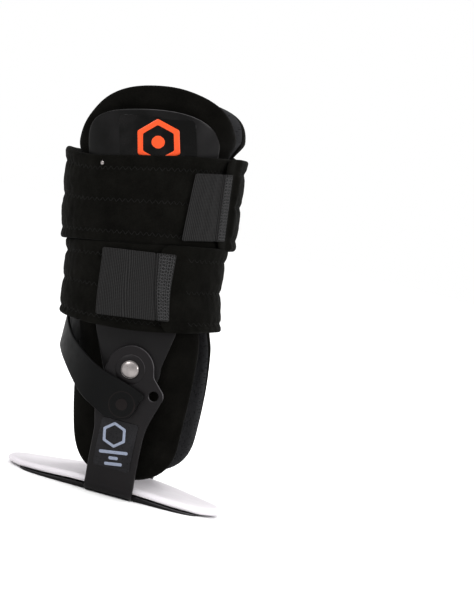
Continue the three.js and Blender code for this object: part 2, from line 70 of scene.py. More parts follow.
# Rear end, front end and half width of the padding's outer face, at heights above the hinge.
LEG_STATIONS = np.array([
    [-70, -58, 64, 36.8],
    [-40, -50, 56, 41],
    [-10, -44, 48, 42.7],
    [20, -40.6, 43, 43.1],
    [45, -39.4, 40.5, 44.1],
    [65, -38.9, 42.5, 45.1],
    [85, -39.8, 45.5, 45.9],
    [123, -38.6, 52, 47],
    [140, -38.6, 57, 47.6],
    [170, -39, 63, 48.6],
], float)


# ---------------------------------------------------------------- curves and surfaces

def smoothstep(x, low, high):
    t = np.clip((np.asarray(x, float) - low) / (high - low), 0, 1)
    return t * t * (3 - 2 * t)


def along(stations, position):
    """Reads a smooth curve through rows [position, value, ...] at an array of positions."""
    table = np.asarray(stations, float)
    at = np.clip(np.asarray(position, float), table[0, 0], table[-1, 0])
    i = np.clip(np.searchsorted(table[:, 0], at, side="left") - 1, 0, len(table) - 2)
    a, b = table[i], table[i + 1]
    before, after = table[np.maximum(i - 1, 0)], table[np.minimum(i + 2, len(table) - 1)]
    span = (b[..., 0] - a[..., 0])[..., None]
    t = (at[..., None] - a[..., :1]) / span
    slope_a = (b[..., 1:] - before[..., 1:]) / (b[..., :1] - before[..., :1]) * span
    slope_b = (after[..., 1:] - a[..., 1:]) / (after[..., :1] - a[..., :1]) * span
    rise = b[..., 1:] - a[..., 1:]
    return a[..., 1:] + slope_a * t + (3 * rise - 2 * slope_a - slope_b) * t**2 + (slope_a + slope_b - 2 * rise) * t**3


def leg_to_row(points):
    """From the leg's frame to the part's frame."""
    c, s = math.cos(REST_FLEXION), math.sin(REST_FLEXION)
    x, y, z = points[..., 0], points[..., 1], points[..., 2]
    return np.stack([x * c - z * s, y, x * s + z * c + HINGE_HEIGHT], -1)


def on_section(rear, front, half, x, y, z, offset):
    """Points on superellipse sections, moved out along their normals, in the part's frame."""
    middle, reach = (front + rear) / 2, (front - rear) / 2
    nx = np.sign(x - middle) * np.abs((x - middle) / reach) ** (ROUNDNESS - 1) / reach
    ny = np.sign(y) * np.abs(y / half) ** (ROUNDNESS - 1) / half
    size = np.hypot(nx, ny)
    return leg_to_row(np.stack([x + offset * nx / size, y + offset * ny / size, z + 0 * x], -1))


def side_surface(side):
    """The leg's side as a function of (height, x, offset)."""

    def surface(z, x, offset):
        rear, front, half = np.moveaxis(along(LEG_STATIONS, z), -1, 0)
        share = np.abs((2 * x - front - rear) / (front - rear))
        y = side * half * (1 - np.minimum(share, 0.995) ** ROUNDNESS) ** (1 / ROUNDNESS)
        return on_section(rear, front, half, x, y, z, offset)

    return surface


def bezier(a, b, c, d, count=24):
    t = np.linspace(0, 1, count, endpoint=False)[:, None]
    a, b, c, d = (np.array(p, float) for p in (a, b, c, d))
    return a * (1 - t) ** 3 + 3 * b * t * (1 - t) ** 2 + 3 * c * t**2 * (1 - t) + d * t**3


def chain(start, *runs):
    """Bezier curves one after another, each from the end of the one before."""
    curves = []
    for b, c, end in runs:
        curves.append(bezier(start, b, c, end))
        start = end
    return np.concatenate(curves)


def arc(cx, cz, radius, start, end, count=24):
    t = np.radians(np.linspace(start, end, count, endpoint=False))
    return np.stack([cx + radius * np.cos(t), cz + radius * np.sin(t)], 1)


def rounded_box(x0, x1, z0, z1, radius):
    """A box's outline with rounded corners. Each corner holds both ends of its arc, so the sides stay straight."""
    turn = np.radians(np.linspace(0, 90, 9))
    c, s = radius * np.cos(turn), radius * np.sin(turn)
    return np.concatenate([
        np.stack([x1 - radius + s, z0 + radius - c], 1),
        np.stack([x1 - radius + c, z1 - radius + s], 1),
        np.stack([x0 + radius - s, z1 - radius + c], 1),
        np.stack([x0 + radius - c, z0 + radius - s], 1),
    ])


def evenly(points, count):
    """The closed outline again, with that many evenly spaced points."""
    closed = np.concatenate([points, points[:1]])
    length = np.concatenate([[0], np.cumsum(np.linalg.norm(np.diff(closed, axis=0), axis=1))])
    at = np.linspace(0, length[-1], count, endpoint=False)
    return np.stack([np.interp(at, length, closed[:, k]) for k in (0, 1)], 1)


def outline_distance(points, outline):
    """Distance from each point to the closed outline."""
    a, b = outline, np.roll(outline, -1, axis=0)
    d = b - a
    out = np.full(len(points), 1e9)
    for start, step in zip(a, d):
        t = np.clip(((points - start) @ step) / max(step @ step, 1e-12), 0, 1)
        out = np.minimum(out, np.linalg.norm(points - start - t[:, None] * step, axis=1))
    return out


def edge_spacing(low, high, near, step):
    """Positions from low to high: close together at both ends, and no further apart than step between."""
    near = np.array(near)
    room = (high - low) / 2
    near = near * min(1, 0.8 * room / near[-1])
    middle_low, middle_high = low + near[-1], high - near[-1]
    count = max(2, math.ceil((middle_high - middle_low) / step))
    return np.concatenate([low + near[:-1], np.linspace(middle_low, middle_high, count + 1), (high - near[:-1])[::-1]])


def crossings(outline, p):
    """Lowest and highest second coordinate of the outline at first coordinate p."""
    a, b = outline, np.roll(outline, -1, axis=0)
    cut = (a[:, 0] <= p) != (b[:, 0] <= p)
    q = a[cut, 1] + (b[cut, 1] - a[cut, 1]) * (p - a[cut, 0]) / (b[cut, 0] - a[cut, 0])
    return q.min(), q.max()


NEAR = [0, 0.03, 0.12, 0.3, 0.6, 1.1, 1.9, 3.0, 4.6]


def grid_in(outline, row_step, column_step, near=NEAR):
    """A grid of points that fills an outline given as (row coordinate, column coordinate), with its edge distances."""
    low, high = outline[:, 0].min(), outline[:, 0].max()
    rows = edge_spacing(low + 0.004, high - 0.004, near, row_step)
    limits = np.array([crossings(outline, p) for p in rows])
    columns = max(2, math.ceil((limits[:, 1] - limits[:, 0]).max() / column_step))
    near = np.array(near)
    grid = []
    for p, (a, b) in zip(rows, limits):
        edge = near * min(1, 0.4 * (b - a) / near[-1])
        middle = np.linspace(a + edge[-1], b - edge[-1], columns + 1)
        q = np.concatenate([a + edge[:-1], middle, (b - edge[:-1])[::-1]])
        grid.append(np.stack([np.full_like(q, p), q], 1))
    grid = np.array(grid)
    distance = outline_distance(grid.reshape(-1, 2), outline).reshape(grid.shape[:2])
    distance[0], distance[-1], distance[:, 0], distance[:, -1] = 0, 0, 0, 0
    return grid, distance


def rounding(distance, radius, power):
    """Share of the full thickness at a distance from the edge."""
    t = 1 - np.clip(distance / radius, 0, 1)
    return (1 - t**power) ** (1 / power)


# ---------------------------------------------------------------- meshes

def linked(name, data):
    """A new object with this data, in the scene."""
    obj = bpy.data.objects.new(name, data)
    bpy.context.scene.collection.objects.link(obj)
    return obj


def new_object(name, verts, faces, *materials, uvs=None, face_materials=None):
    mesh = bpy.data.meshes.new(name)
    mesh.from_pydata([tuple(v) for v in np.asarray(verts) * MM], [], [tuple(f) for f in faces])
    mesh.polygons.foreach_set("use_smooth", [True] * len(mesh.polygons))
    for m in materials:
        mesh.materials.append(m)
    if face_materials is not None:
        mesh.polygons.foreach_set("material_index", face_materials)
    if uvs is not None:
        layer = mesh.uv_layers.new(name="UVMap")
        corners = np.zeros(len(mesh.loops), int)
        mesh.loops.foreach_get("vertex_index", corners)
        layer.data.foreach_set("uv", np.asarray(uvs, float)[corners].ravel())
    mesh.update()
    return linked(name, mesh)


def outward(obj):
    """Turns all faces of a closed mesh to face out."""
    bm = bmesh.new()
    bm.from_mesh(obj.data)
    bmesh.ops.recalc_face_normals(bm, faces=bm.faces)
    bm.to_mesh(obj.data)
    bm.free()
    return obj


def belts(rows):
    """Faces all round between each ring of vertex numbers and the next, without repeated corners."""
    faces = []
    for low, high in zip(rows, rows[1:]):
        for j in range(len(low)):
            k = (j + 1) % len(low)
            corners = list(dict.fromkeys((low[j], low[k], high[k], high[j])))
            if len(corners) > 2:
                faces.append(corners)
    return faces


def sandwich(outer, inner):
    """Vertices and faces of a closed piece from two grids that share their edge points."""
    rows, columns = outer.shape[:2]
    number = np.arange(rows * columns).reshape(rows, columns)
    back = number + rows * columns
    for edge in (np.s_[0, :], np.s_[-1, :], np.s_[:, 0], np.s_[:, -1]):
        back[edge] = number[edge]
    faces, sides = [], []
    for grid, side in ((number, 0), (back, 1)):
        a, b, c, d = grid[:-1, :-1], grid[:-1, 1:], grid[1:, 1:], grid[1:, :-1]
        quads = np.stack([a, b, c, d] if side == 0 else [d, c, b, a], -1).reshape(-1, 4)
        faces.append(quads)
        sides.append(np.full(len(quads), side))
    faces, sides = np.concatenate(faces), np.concatenate(sides)
    verts = np.concatenate([outer.reshape(-1, 3), inner.reshape(-1, 3)])
    used, remap = np.unique(faces, return_inverse=True)
    return verts[used], remap.reshape(faces.shape), sides, used


def plate(name, outline, surface, inner, outer, material, row_step, column_step, radius, power, swell=None, near=NEAR,
          lining=None):
    """A plate with rounded edges that fills an outline of (row, column) points on a surface(row, column, offset).
    swell(grid, distance) adds to its thickness, and a lining is the material of its inner face."""
    grid, distance = grid_in(outline, row_step, column_step, near)
    p, q = grid[..., 0], grid[..., 1]
    thickness = outer - inner + (0 if swell is None else swell(grid, distance))
    share = rounding(distance, radius, power)
    top = inner + thickness * (1 + share) / 2
    bottom = inner + thickness * (1 - share) / 2
    verts, faces, sides, used = sandwich(surface(p, q, top), surface(p, q, bottom))
    uvs = np.tile(grid[..., ::-1].reshape(-1, 2), (2, 1))[used] * 0.1
    materials = [material, lining] if lining else [material]
    return outward(new_object(name, verts, faces, *materials, uvs=uvs, face_materials=sides if lining else None))


def threads(name, paths, radius, material, sides=5):
    """Closed tubes along paths of points, with capped ends."""
    verts, faces = [], []
    turn = np.linspace(0, 2 * np.pi, sides, endpoint=False)
    for path in paths:
        path = np.asarray(path, float)
        tangent = np.gradient(path, axis=0)
        tangent /= np.linalg.norm(tangent, axis=1)[:, None] + 1e-12
        across = np.cross(tangent, np.array([0.03, -1, 0.02]) + np.zeros_like(path))
        across /= np.linalg.norm(across, axis=1)[:, None] + 1e-9
        out = np.cross(tangent, across)
        ring = across[:, None] * np.cos(turn)[None, :, None] + out[:, None] * np.sin(turn)[None, :, None]
        number = len(verts) + np.arange(len(path) * sides).reshape(-1, sides)
        verts.extend((path[:, None] + radius * ring).reshape(-1, 3))
        faces += belts(number) + [number[0, ::-1], number[-1]]
    return outward(new_object(name, verts, faces, material))


def turned(name, profile, centre, direction, material, segments, closed=False):
    """A turned piece from a profile of [radius, distance along direction from the centre]. A closed profile makes a
    ring; an open one runs from axis to axis."""
    axis = np.array(direction, float)
    side_a = np.array([1.0, 0, 0]) if abs(axis[0]) < 0.9 else np.array([0, 0, 1.0])
    side_a -= axis * (axis @ side_a)
    side_a /= np.linalg.norm(side_a)
    side_b = np.cross(axis, side_a)
    turn = np.linspace(0, 2 * np.pi, segments, endpoint=False)
    ring = np.cos(turn)[:, None] * side_a + np.sin(turn)[:, None] * side_b
    verts, rows = [], []
    for radius, distance in profile:
        middle = np.array(centre, float) + axis * distance
        on_axis = radius < 1e-6
        rows.append([len(verts)] * segments if on_axis else list(range(len(verts), len(verts) + segments)))
        verts.extend([middle] if on_axis else middle + radius * ring)
    obj = outward(new_object(name, verts, belts(rows + rows[:1] if closed else rows), material))
    obj.data.set_sharp_from_angle(angle=math.radians(35))
    return obj


def ripple(points, size, seed):
    """Smooth noise at each point. size is the width of its lumps in mm."""
    flat = np.asarray(points, float).reshape(-1, 3) / size + seed
    values = np.array([noise.noise(Vector(p)) for p in flat])
    return values.reshape(np.shape(points)[:-1])


def cut_holes(obj, side, face, *holes):
    """Drills round holes (x, z, radius) with softened rims. The outer face is that far from the middle plane."""
    behind, beyond = 25, 70
    for x, z, radius in holes:
        rim = radius + 0.65
        profile = [[0, behind], [radius, behind], [radius, face - 0.75], [radius + 0.12, face - 0.4],
                   [rim, face + 0.15], [rim, beyond], [0, beyond]]
        cutter = turned("cutter", profile, (x, 0, z), (0, side, 0), obj.data.materials[0], 40)
        modifier = obj.modifiers.new("hole", "BOOLEAN")
        modifier.operation, modifier.object, modifier.solver = "DIFFERENCE", cutter, "EXACT"
        cut = bpy.data.meshes.new_from_object(obj.evaluated_get(bpy.context.evaluated_depsgraph_get()))
        obj.modifiers.clear()
        obj.data = cut
        bpy.data.objects.remove(cutter)


def join(name, parts):
    """One object from several, keeping their materials."""
    bm = bmesh.new()
    materials = []
    for part in parts:
        offset = [materials.index(m) if m in materials else (materials.append(m) or len(materials) - 1)
                  for m in part.data.materials]
        before = len(bm.faces)
        bm.from_mesh(part.data)
        bm.faces.ensure_lookup_table()
        for face in bm.faces[before:]:
            face.material_index = offset[min(face.material_index, len(offset) - 1)]
    mesh = bpy.data.meshes.new(name)
    bm.to_mesh(mesh)
    bm.free()
    for m in materials:
        mesh.materials.append(m)
    for part in parts:
        bpy.data.objects.remove(part)
    return linked(name, mesh)


# ---------------------------------------------------------------- materials

class Nodes:
    """Builds one material's node tree."""

    def __init__(self, name, color, roughness, metallic=0.0, specular=0.5):
        self.material = bpy.data.materials.new(name)
        self.material.use_nodes = True
        self.tree = self.material.node_tree
        self.shader = self.tree.nodes["Principled BSDF"]
        self.set("Base Color", (*color, 1))
        self.set("Roughness", roughness)
        self.set("Metallic", metallic)
        self.set("Specular IOR Level", specular)
        self.material.diffuse_color = (*color, 1)

    def set(self, socket, value):
        self.shader.inputs[socket].default_value = value

    def node(self, kind, inputs=(), **settings):
        made = self.tree.nodes.new(kind)
        for key, value in settings.items():
            setattr(made, key, value)
        for key, value in dict(inputs).items():
            if isinstance(value, bpy.types.NodeSocket):
                self.tree.links.new(value, made.inputs[key])
            else:
                made.inputs[key].default_value = value
        return made

    def link(self, socket, name):
        self.tree.links.new(socket, self.shader.inputs[name])

    def tone(self, fac, *stops):
        self.link(self.ramp(fac, stops), "Base Color")

    def gloss(self, fac, low, high, smooth, rough):
        self.link(self.spread(fac, low, high, smooth, rough), "Roughness")

    def place(self, which="Object"):
        return self.node("ShaderNodeTexCoord").outputs[which]

    def noise(self, scale, detail=2.0, roughness=0.5, vector=None, distortion=0.0):
        inputs = {"Scale": scale, "Detail": detail, "Roughness": roughness, "Distortion": distortion,
                  "Vector": vector if vector is not None else self.place()}
        return self.node("ShaderNodeTexNoise", inputs).outputs["Fac"]

    def stretched(self, scale, which="UV"):
        mapping = self.node("ShaderNodeMapping", {"Vector": self.place(which), "Scale": scale})
        return mapping.outputs["Vector"]

    def math(self, operation, a, b=0.0, c=0.0):
        return self.node("ShaderNodeMath", {0: a, 1: b, 2: c}, operation=operation).outputs[0]

    def ramp(self, fac, stops):
        made = self.node("ShaderNodeValToRGB", {"Fac": fac})
        while len(made.color_ramp.elements) < len(stops):
            made.color_ramp.elements.new(0.5)
        for element, (position, color) in zip(made.color_ramp.elements, stops):
            element.position = position
            element.color = (*color, 1)
        return made.outputs["Color"]

    def painted_edge_highlight(self, ahead, above):
        """Mask of painted highlights: 1 on rounded edges that look ahead and up by these shares, 0 on flat faces."""
        split = self.node("ShaderNodeSeparateXYZ", {"Vector": self.place("Normal")})
        x, y, z = (split.outputs[axis] for axis in "XYZ")
        looks = self.math("MULTIPLY_ADD", x, ahead, self.math("MULTIPLY", z, above))
        beside = self.spread(self.math("ABSOLUTE", y), 0.12, 0.35, 0.0, 1.0)
        return self.math("MULTIPLY", self.spread(looks, 0.34, 0.68, 0.0, 1.0), beside)

    def spread(self, fac, low, high, to_low, to_high):
        inputs = {"Value": fac, "From Min": low, "From Max": high, "To Min": to_low, "To Max": to_high}
        return self.node("ShaderNodeMapRange", inputs).outputs["Result"]

    def bump(self, *layers):
        """layers are (height socket, strength, distance in metres), coarse first."""
        normal = None
        for height, strength, distance in layers:
            inputs = {"Height": height, "Strength": strength, "Distance": distance}
            if normal is not None:
                inputs["Normal"] = normal
            normal = self.node("ShaderNodeBump", inputs).outputs["Normal"]
        self.link(normal, "Normal")


def plastic(name, dark, light, roughness, grain=2600, grain_strength=0.25, specular=0.5, edge=None,
            toward=(0.6, 0.8), far=None):
    """Moulded plastic: a fine grain, slow tone changes, rubbed spots, and if edge is a colour, painted highlights on
    rounded edges that face ahead and up. If far is a colour, the tone falls to it at the top and rear as painted shade."""
    n = Nodes(name, light, roughness, specular=specular)
    slow, fine = n.noise(38, 3), n.noise(grain, 2)
    stops = [(0.15, dark), (0.35, light)]
    tone = n.math("MULTIPLY", slow, 0.5)
    # far paints shade: the tone darkens towards the top and rear.
    if far:
        split = n.node("ShaderNodeSeparateXYZ", {"Vector": n.place()})
        rearward = n.math("MULTIPLY_ADD", split.outputs["X"], -1.2, split.outputs["Z"])
        tone = n.math("MULTIPLY_ADD", n.spread(rearward, 0.15, 0.29, 0.0, 1.0), -0.25, tone)
        stops.insert(0, (0.0, far))
    # edge paints a highlight onto the rounded edges that face ahead and up.
    if edge:
        tone = n.math("MULTIPLY_ADD", n.painted_edge_highlight(*toward), 0.5, tone)
        stops.append((0.72, edge))
    n.tone(tone, *stops)
    rubbed = n.noise(210, 4, 0.62)
    n.gloss(rubbed, 0.3, 0.75, roughness - 0.05, roughness + 0.09)
    n.bump((n.noise(120, 2), 0.06, 0.0004), (fine, grain_strength, 0.00005))
    return n.material


def plush(name, dark, light, pile=1500):
    """Brushed loop pile on foam: short matted hairs with slow brushed patches."""
    n = Nodes(name, dark, 0.95, specular=0.03)
    patches = n.noise(75, 4, 0.6)
    hairs = n.noise(pile, 4, 0.7, distortion=0.6)
    both = n.math("ADD", n.math("MULTIPLY", patches, 0.5), n.math("MULTIPLY", hairs, 0.5))
    n.tone(both, (0.38, dark), (0.62, light))
    n.gloss(hairs, 0.3, 0.7, 0.86, 1.0)
    n.bump((patches, 0.25, 0.0006), (hairs, 0.7, 0.00035))
    n.set("Sheen Weight", 0.035)
    n.set("Sheen Roughness", 0.4)
    return n.material


def woven(name, dark, light, ribs, picks):
    """Woven tape: ribs along one direction crossed by fine picks. Counts are per centimetre."""
    n = Nodes(name, light, 0.7, specular=0.12)
    turns = n.stretched((ribs * 2 * math.pi, picks * 2 * math.pi, 1))
    split = n.node("ShaderNodeSeparateXYZ", {"Vector": turns})
    wobble = n.math("MULTIPLY", n.noise(420, 2), 1.6)
    rib = n.math("SINE", n.math("ADD", split.outputs["X"], wobble))
    pick = n.math("SINE", n.math("ADD", split.outputs["Y"], wobble))
    weave = n.math("MULTIPLY_ADD", rib, 0.34, n.math("MULTIPLY_ADD", pick, 0.16, 0.5))
    fuzz = n.noise(1700, 4, 0.75)
    mixed = n.math("ADD", n.math("MULTIPLY", weave, 0.6), n.math("MULTIPLY", fuzz, 0.4))
    n.tone(mixed, (0.25, dark), (0.75, light))
    n.gloss(fuzz, 0.3, 0.7, 0.62, 0.8)
    n.bump((weave, 0.55, 0.00035), (fuzz, 0.35, 0.00015))
    n.set("Sheen Weight", 0.02)
    return n.material


def mesh_lining(name, dark, light):
    """Knitted spacer mesh: small round holes in a pale grey knit."""
    n = Nodes(name, light, 0.85, specular=0.1)
    cells = n.node("ShaderNodeTexVoronoi", {"Vector": n.stretched((7, 9, 1)), "Scale": 1.0}, feature="F1")
    hole = n.spread(cells.outputs["Distance"], 0.12, 0.42, 0.0, 1.0)
    fuzz = n.noise(1900, 3, 0.6)
    tone = n.math("ADD", n.math("MULTIPLY", hole, 0.8), n.math("MULTIPLY", fuzz, 0.2))
    n.tone(tone, (0.1, dark), (0.7, light))
    n.bump((hole, 0.7, 0.0004), (fuzz, 0.3, 0.0002))
    n.set("Sheen Weight", 0.02)
    return n.material


def foam(name):
    """Skinned foam: fine pores, faint scuffs."""
    n = Nodes(name, (0.70, 0.68, 0.70), 0.5, specular=0.25)
    pores, slow = n.noise(1700, 3, 0.6), n.noise(24, 3)
    n.tone(slow, (0.3, (0.66, 0.63, 0.66)), (0.7, (0.74, 0.715, 0.74)))
    n.gloss(n.noise(160, 4, 0.6), 0.3, 0.7, 0.42, 0.62)
    n.bump((slow, 0.08, 0.0006), (pores, 0.3, 0.00008))
    return n.material


def metal(name, color, roughness):
    """Plated steel with the fine marks of its setting tool."""
    n = Nodes(name, color, roughness, metallic=1.0)
    marks = n.noise(900, 3, 0.65, vector=n.stretched((1, 1, 5), "Object"))
    n.gloss(marks, 0.3, 0.7, roughness - 0.07, roughness + 0.12)
    dark = tuple(c * 0.82 for c in color)
    n.tone(n.noise(260, 3), (0.3, dark), (0.7, color))
    n.bump((marks, 0.12, 0.00004))
    return n.material


def film(name, dark, light, roughness, blotch=(0.3, 0.7), scuff=None):
    """Glossy printed film, slightly wavy with dust in its gloss, and scuffs if scuff is a colour."""
    n = Nodes(name, light, roughness, specular=0.2)
    # The tone runs in blotches between dark and light; on the shell label these blotches are a painted reflection.
    stops = [(blotch[0], dark), (blotch[1], light)]
    fac = n.noise(60, 2)
    if scuff:
        fac = n.noise(170, 5, 0.65, vector=n.stretched((1, 1, 0.35), "Object"))
        stops += [(0.68, light), (0.78, scuff)]
    n.tone(fac, *stops)
    n.gloss(n.noise(700, 4, 0.7), 0.35, 0.8, roughness, roughness + 0.16)
    n.bump((n.noise(55, 2), 0.35, 0.0012), (n.noise(700, 2), 0.05, 0.0001))
    return n.material


def ink(name, color):
    """Printed ink: a flat colour with faint print grain."""
    n = Nodes(name, color, 0.35)
    darker = tuple(c * 0.88 for c in color)
    n.tone(n.noise(1400, 2), (0.35, darker), (0.65, color))
    n.gloss(n.noise(500, 2), 0.3, 0.7, 0.3, 0.43)
    n.bump((n.noise(900, 2), 0.08, 0.00005))
    return n.material


# The edge colours of these plastics are painted highlights on rounded edges that face ahead and up.
FRAME_PLASTIC = plastic("stirrup_plastic", (0.0080, 0.0068, 0.0076), (0.0110, 0.0092, 0.0102), 0.38, specular=0.24,
                        edge=(0.10, 0.095, 0.10))
STRAP_PLASTIC = plastic("strap_plastic", (0.0036, 0.0037, 0.0039), (0.0050, 0.0051, 0.0053), 0.46, 1500, 0.2,
                        specular=0.14)
# The shell's far colour is painted shade towards its top and rear; its edge colour is a painted highlight along its top
# rim.
SHELL_PLASTIC = plastic("shell_plastic", (0.0125, 0.0117, 0.0122), (0.0158, 0.0148, 0.0154), 0.36, 2000, 0.35,
                        specular=0.16, edge=(0.16, 0.155, 0.16), toward=(0.15, 0.95), far=(0.0016, 0.0015, 0.0013))
BUTTON_PLASTIC = plastic("button_plastic", (0.0075, 0.0048, 0.0048), (0.0100, 0.0066, 0.0066), 0.34, 900, 0.1,
                         specular=0.2, edge=(0.035, 0.03, 0.03))
PAD_PLUSH = plush("pad_plush", (0.0036, 0.0034, 0.0028), (0.0088, 0.0082, 0.0070))
WRAP_PLUSH = plush("wrap_plush", (0.0042, 0.0040, 0.0033), (0.0100, 0.0096, 0.0082), 1300)
PAD_LINING = mesh_lining("pad_lining", (0.008, 0.008, 0.009), (0.040, 0.040, 0.042))
HOOK_TAPE = woven("hook_tape", (0.008, 0.0078, 0.0078), (0.038, 0.0370, 0.0372), 9, 12)
THREAD = woven("black_thread", (0.005, 0.005, 0.0048), (0.018, 0.0177, 0.017), 30, 30)
TAPE_THREAD = woven("tape_thread", (0.022, 0.022, 0.022), (0.085, 0.085, 0.087), 30, 30)
STEEL = metal("rivet_steel", (0.36, 0.335, 0.33), 0.30)
FOOTBED_FOAM = foam("footbed_foam")
NYLON = plastic("spacer_nylon", (0.52, 0.52, 0.49), (0.60, 0.60, 0.57), 0.45)
TAPE = plastic("footbed_tape", (0.5, 0.5, 0.48), (0.62, 0.62, 0.58), 0.6)
# The shell label's dark and light blotches are a painted reflection.
SHELL_LABEL = film("shell_label_film", (0.0008, 0.0007, 0.0006), (0.0062, 0.0056, 0.0056), 0.12, (0.44, 0.56))
ARM_LABEL = film("arm_label_film", (0.0125, 0.0120, 0.0136), (0.0200, 0.0192, 0.0216), 0.24,
                 (0.35, 0.6), (0.11, 0.11, 0.12))
ORANGE_INK = ink("orange_ink", (0.80, 0.095, 0.012))
PALE_INK = ink("pale_ink", (0.27, 0.30, 0.38))


def finished(obj, body, slot, *nodes):
    """Hands a piece over: the body it rides on, the CAD nodes it stands for, and a finish slot, which is not used."""
    if nodes:
        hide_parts(*nodes)
    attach(obj, body)


# ---------------------------------------------------------------- stirrup

def arm_face(z):
    """Distance of the arm's outer face from the middle plane, above the bend."""
    rise = np.minimum((z - BEND_RADIUS) / (FLARE_TOP - BEND_RADIUS), 1)
    return ARM_FOOT + (ARM_OUTSIDE - ARM_FOOT) * (1.62 * rise - 0.62 * np.maximum(rise, 0) ** 2.62)


def arm_profile():
    """The outside of an arm as rows of [height label, y, z, normal y, normal z], from under the base to above the disc.
    The label is the height where the arm is upright and runs on below zero under the base."""
    centre = ARM_FOOT - BEND_RADIUS
    rows = [[-9 - 2 * k, centre - 2 * k - 0.3, 0, 0, -1] for k in (5, 4, 3, 2, 1, 0)]
    for turn in np.radians(np.linspace(0, 90, 13)):
        z = BEND_RADIUS * (1 - math.cos(turn))
        label = z if turn > math.radians(80) else -9 + (BEND_RADIUS + 8) * turn / (math.pi / 2) * 0.98
        rows.append([label, centre + BEND_RADIUS * math.sin(turn), z, math.sin(turn), -math.cos(turn)])
    for z in np.arange(8, 100, 1.0):
        slope = arm_face(z + 0.5) - arm_face(z - 0.5)
        rows.append([z, arm_face(z), z, 1 / math.hypot(1, slope), -slope / math.hypot(1, slope)])
    rows = np.array(rows)
    return rows[np.argsort(rows[:, 0], kind="stable")]


ARM_ROWS = arm_profile()


def arm_surface(side):
    def surface(label, x, offset):
        y, z, ny, nz = (np.interp(label, ARM_ROWS[:, 0], ARM_ROWS[:, k]) for k in (1, 2, 3, 4))
        size = np.hypot(ny, nz)
        return np.stack([x, side * (y + offset * ny / size), z + offset * nz / size], -1)

    return surface


def swap(points):
    return points[:, ::-1]


def arm_outline():
    return np.concatenate([
        [[ARM_REAR, -17], [ARM_FRONT, -17]],
        bezier((ARM_FRONT, 38), (ARM_FRONT, 47), (20.5, 55), (22.6, 62.6)),
        arc(EAR_X, EAR_Z, 6, -33, 38, 12),
        [[15.2, 76.6]],
        arc(0, HINGE_HEIGHT, DISC_RADIUS, 8, 180, 40),
        chain((-15, 76), ((-15, 66), (-16.5, 58), (-15, 50)), ((-13.5, 43), (ARM_REAR, 42), (ARM_REAR, 34))),
    ])


def base_surface(y, x, offset):
    return np.stack([x, y, offset + 0 * x], -1)


def base_outline():
    """The stirrup's base: a long plate with full, rounded ends."""
    t = np.linspace(0, 2 * np.pi, 800, endpoint=False)
    c, s = np.cos(t), np.sin(t)
    return evenly(np.stack([57.5 * np.sign(c) * np.abs(c) ** 0.42, 30 * np.sign(s) * np.abs(s) ** 0.42], 1), 300)


def base_top(x):
    """The base thins towards its two ends."""
    return BASE_THICKNESS - 1.75 * smoothstep(np.abs(x), 14, 56)


def footbed_drop(x):
    """How far the footbed bends down over the base's thin ends."""
    return 2.9 * smoothstep(np.abs(x), 14, 60)


def ring_profile(inner, outer, near, far, edge=0.12):
    return [[inner, near + edge], [inner + edge, near], [outer - edge, near], [outer, near + edge],
            [outer, far - edge], [outer - edge, far], [inner + edge, far], [inner, far - edge]]


def stirrup():
    parts = [plate("base", swap(base_outline()), base_surface, 0, BASE_THICKNESS, FRAME_PLASTIC, 2, 2.5, 0.8, 2.4,
                   swell=lambda grid, distance: base_top(grid[..., 1]) - BASE_THICKNESS)]
    for side in (LATERAL, MEDIAL):
        arm = plate("arm", swap(evenly(arm_outline(), 420)), arm_surface(side), -ARM_THICKNESS, 0, FRAME_PLASTIC,
                    1.2, 1.6, 0.75, 2.2)
        cut_holes(arm, side, ARM_OUTSIDE, (0, HINGE_HEIGHT, HINGE_BORE), (EAR_X, EAR_Z, EAR_BORE),
                  (BUTTON_X, BUTTON_Z, BUTTON_BORE))
        boss = ring_profile(HINGE_BORE, 8.9, ARM_OUTSIDE - 0.3, ARM_OUTSIDE + 0.24, 0.2)
        parts += [arm, turned("boss", boss, (0, 0, HINGE_HEIGHT), (0, side, 0), FRAME_PLASTIC, 64, closed=True)]
    piece = join("stirrup_frame_looks", parts)
    piece.data.set_sharp_from_angle(angle=math.radians(50))
    return piece


finished(stirrup(), "stirrup", "moulded_black", "stirrup_frame")


# ---------------------------------------------------------------- footbed

def oval_slab(name, length, half_width, profile, material, height_at, segments=144, rings=26):
    """A slab with full oval ends. Its profile is [share of the full size, height], bent by height_at(x, height)."""
    profile = np.array(profile, float)
    inner = [[k / rings * profile[1, 0], profile[0, 1]] for k in range(1, rings)]
    outer = [[k / rings * profile[-2, 0], profile[-1, 1]] for k in range(1, rings)][::-1]
    rows = np.array(inner + profile[1:-1].tolist() + outer)
    turn = np.linspace(0, 2 * np.pi, segments, endpoint=False)
    c, s = np.cos(turn), np.sin(turn)
    round_x, round_y = np.sign(c) * np.abs(c) ** 0.88, np.sign(s) * np.abs(s) ** 0.88
    verts = []
    for share, height in rows:
        x = share * length / 2 * round_x
        verts.extend(np.stack([x, share * half_width * round_y, height_at(x, height)], 1))
    verts += [(0, 0, float(height_at(0.0, height))) for height in (profile[0, 1], profile[-1, 1])]
    number = np.arange(len(rows) * segments).reshape(-1, segments)
    first, last = ([len(verts) - k] * segments for k in (2, 1))
    return outward(new_object(name, verts, belts([first, *number, last]), material))


def footbed_height(x, height):
    return height - footbed_drop(x)


def tape_height(x, share):
    return base_top(x) + share * (FOOTBED_BASE - footbed_drop(x) - base_top(x))


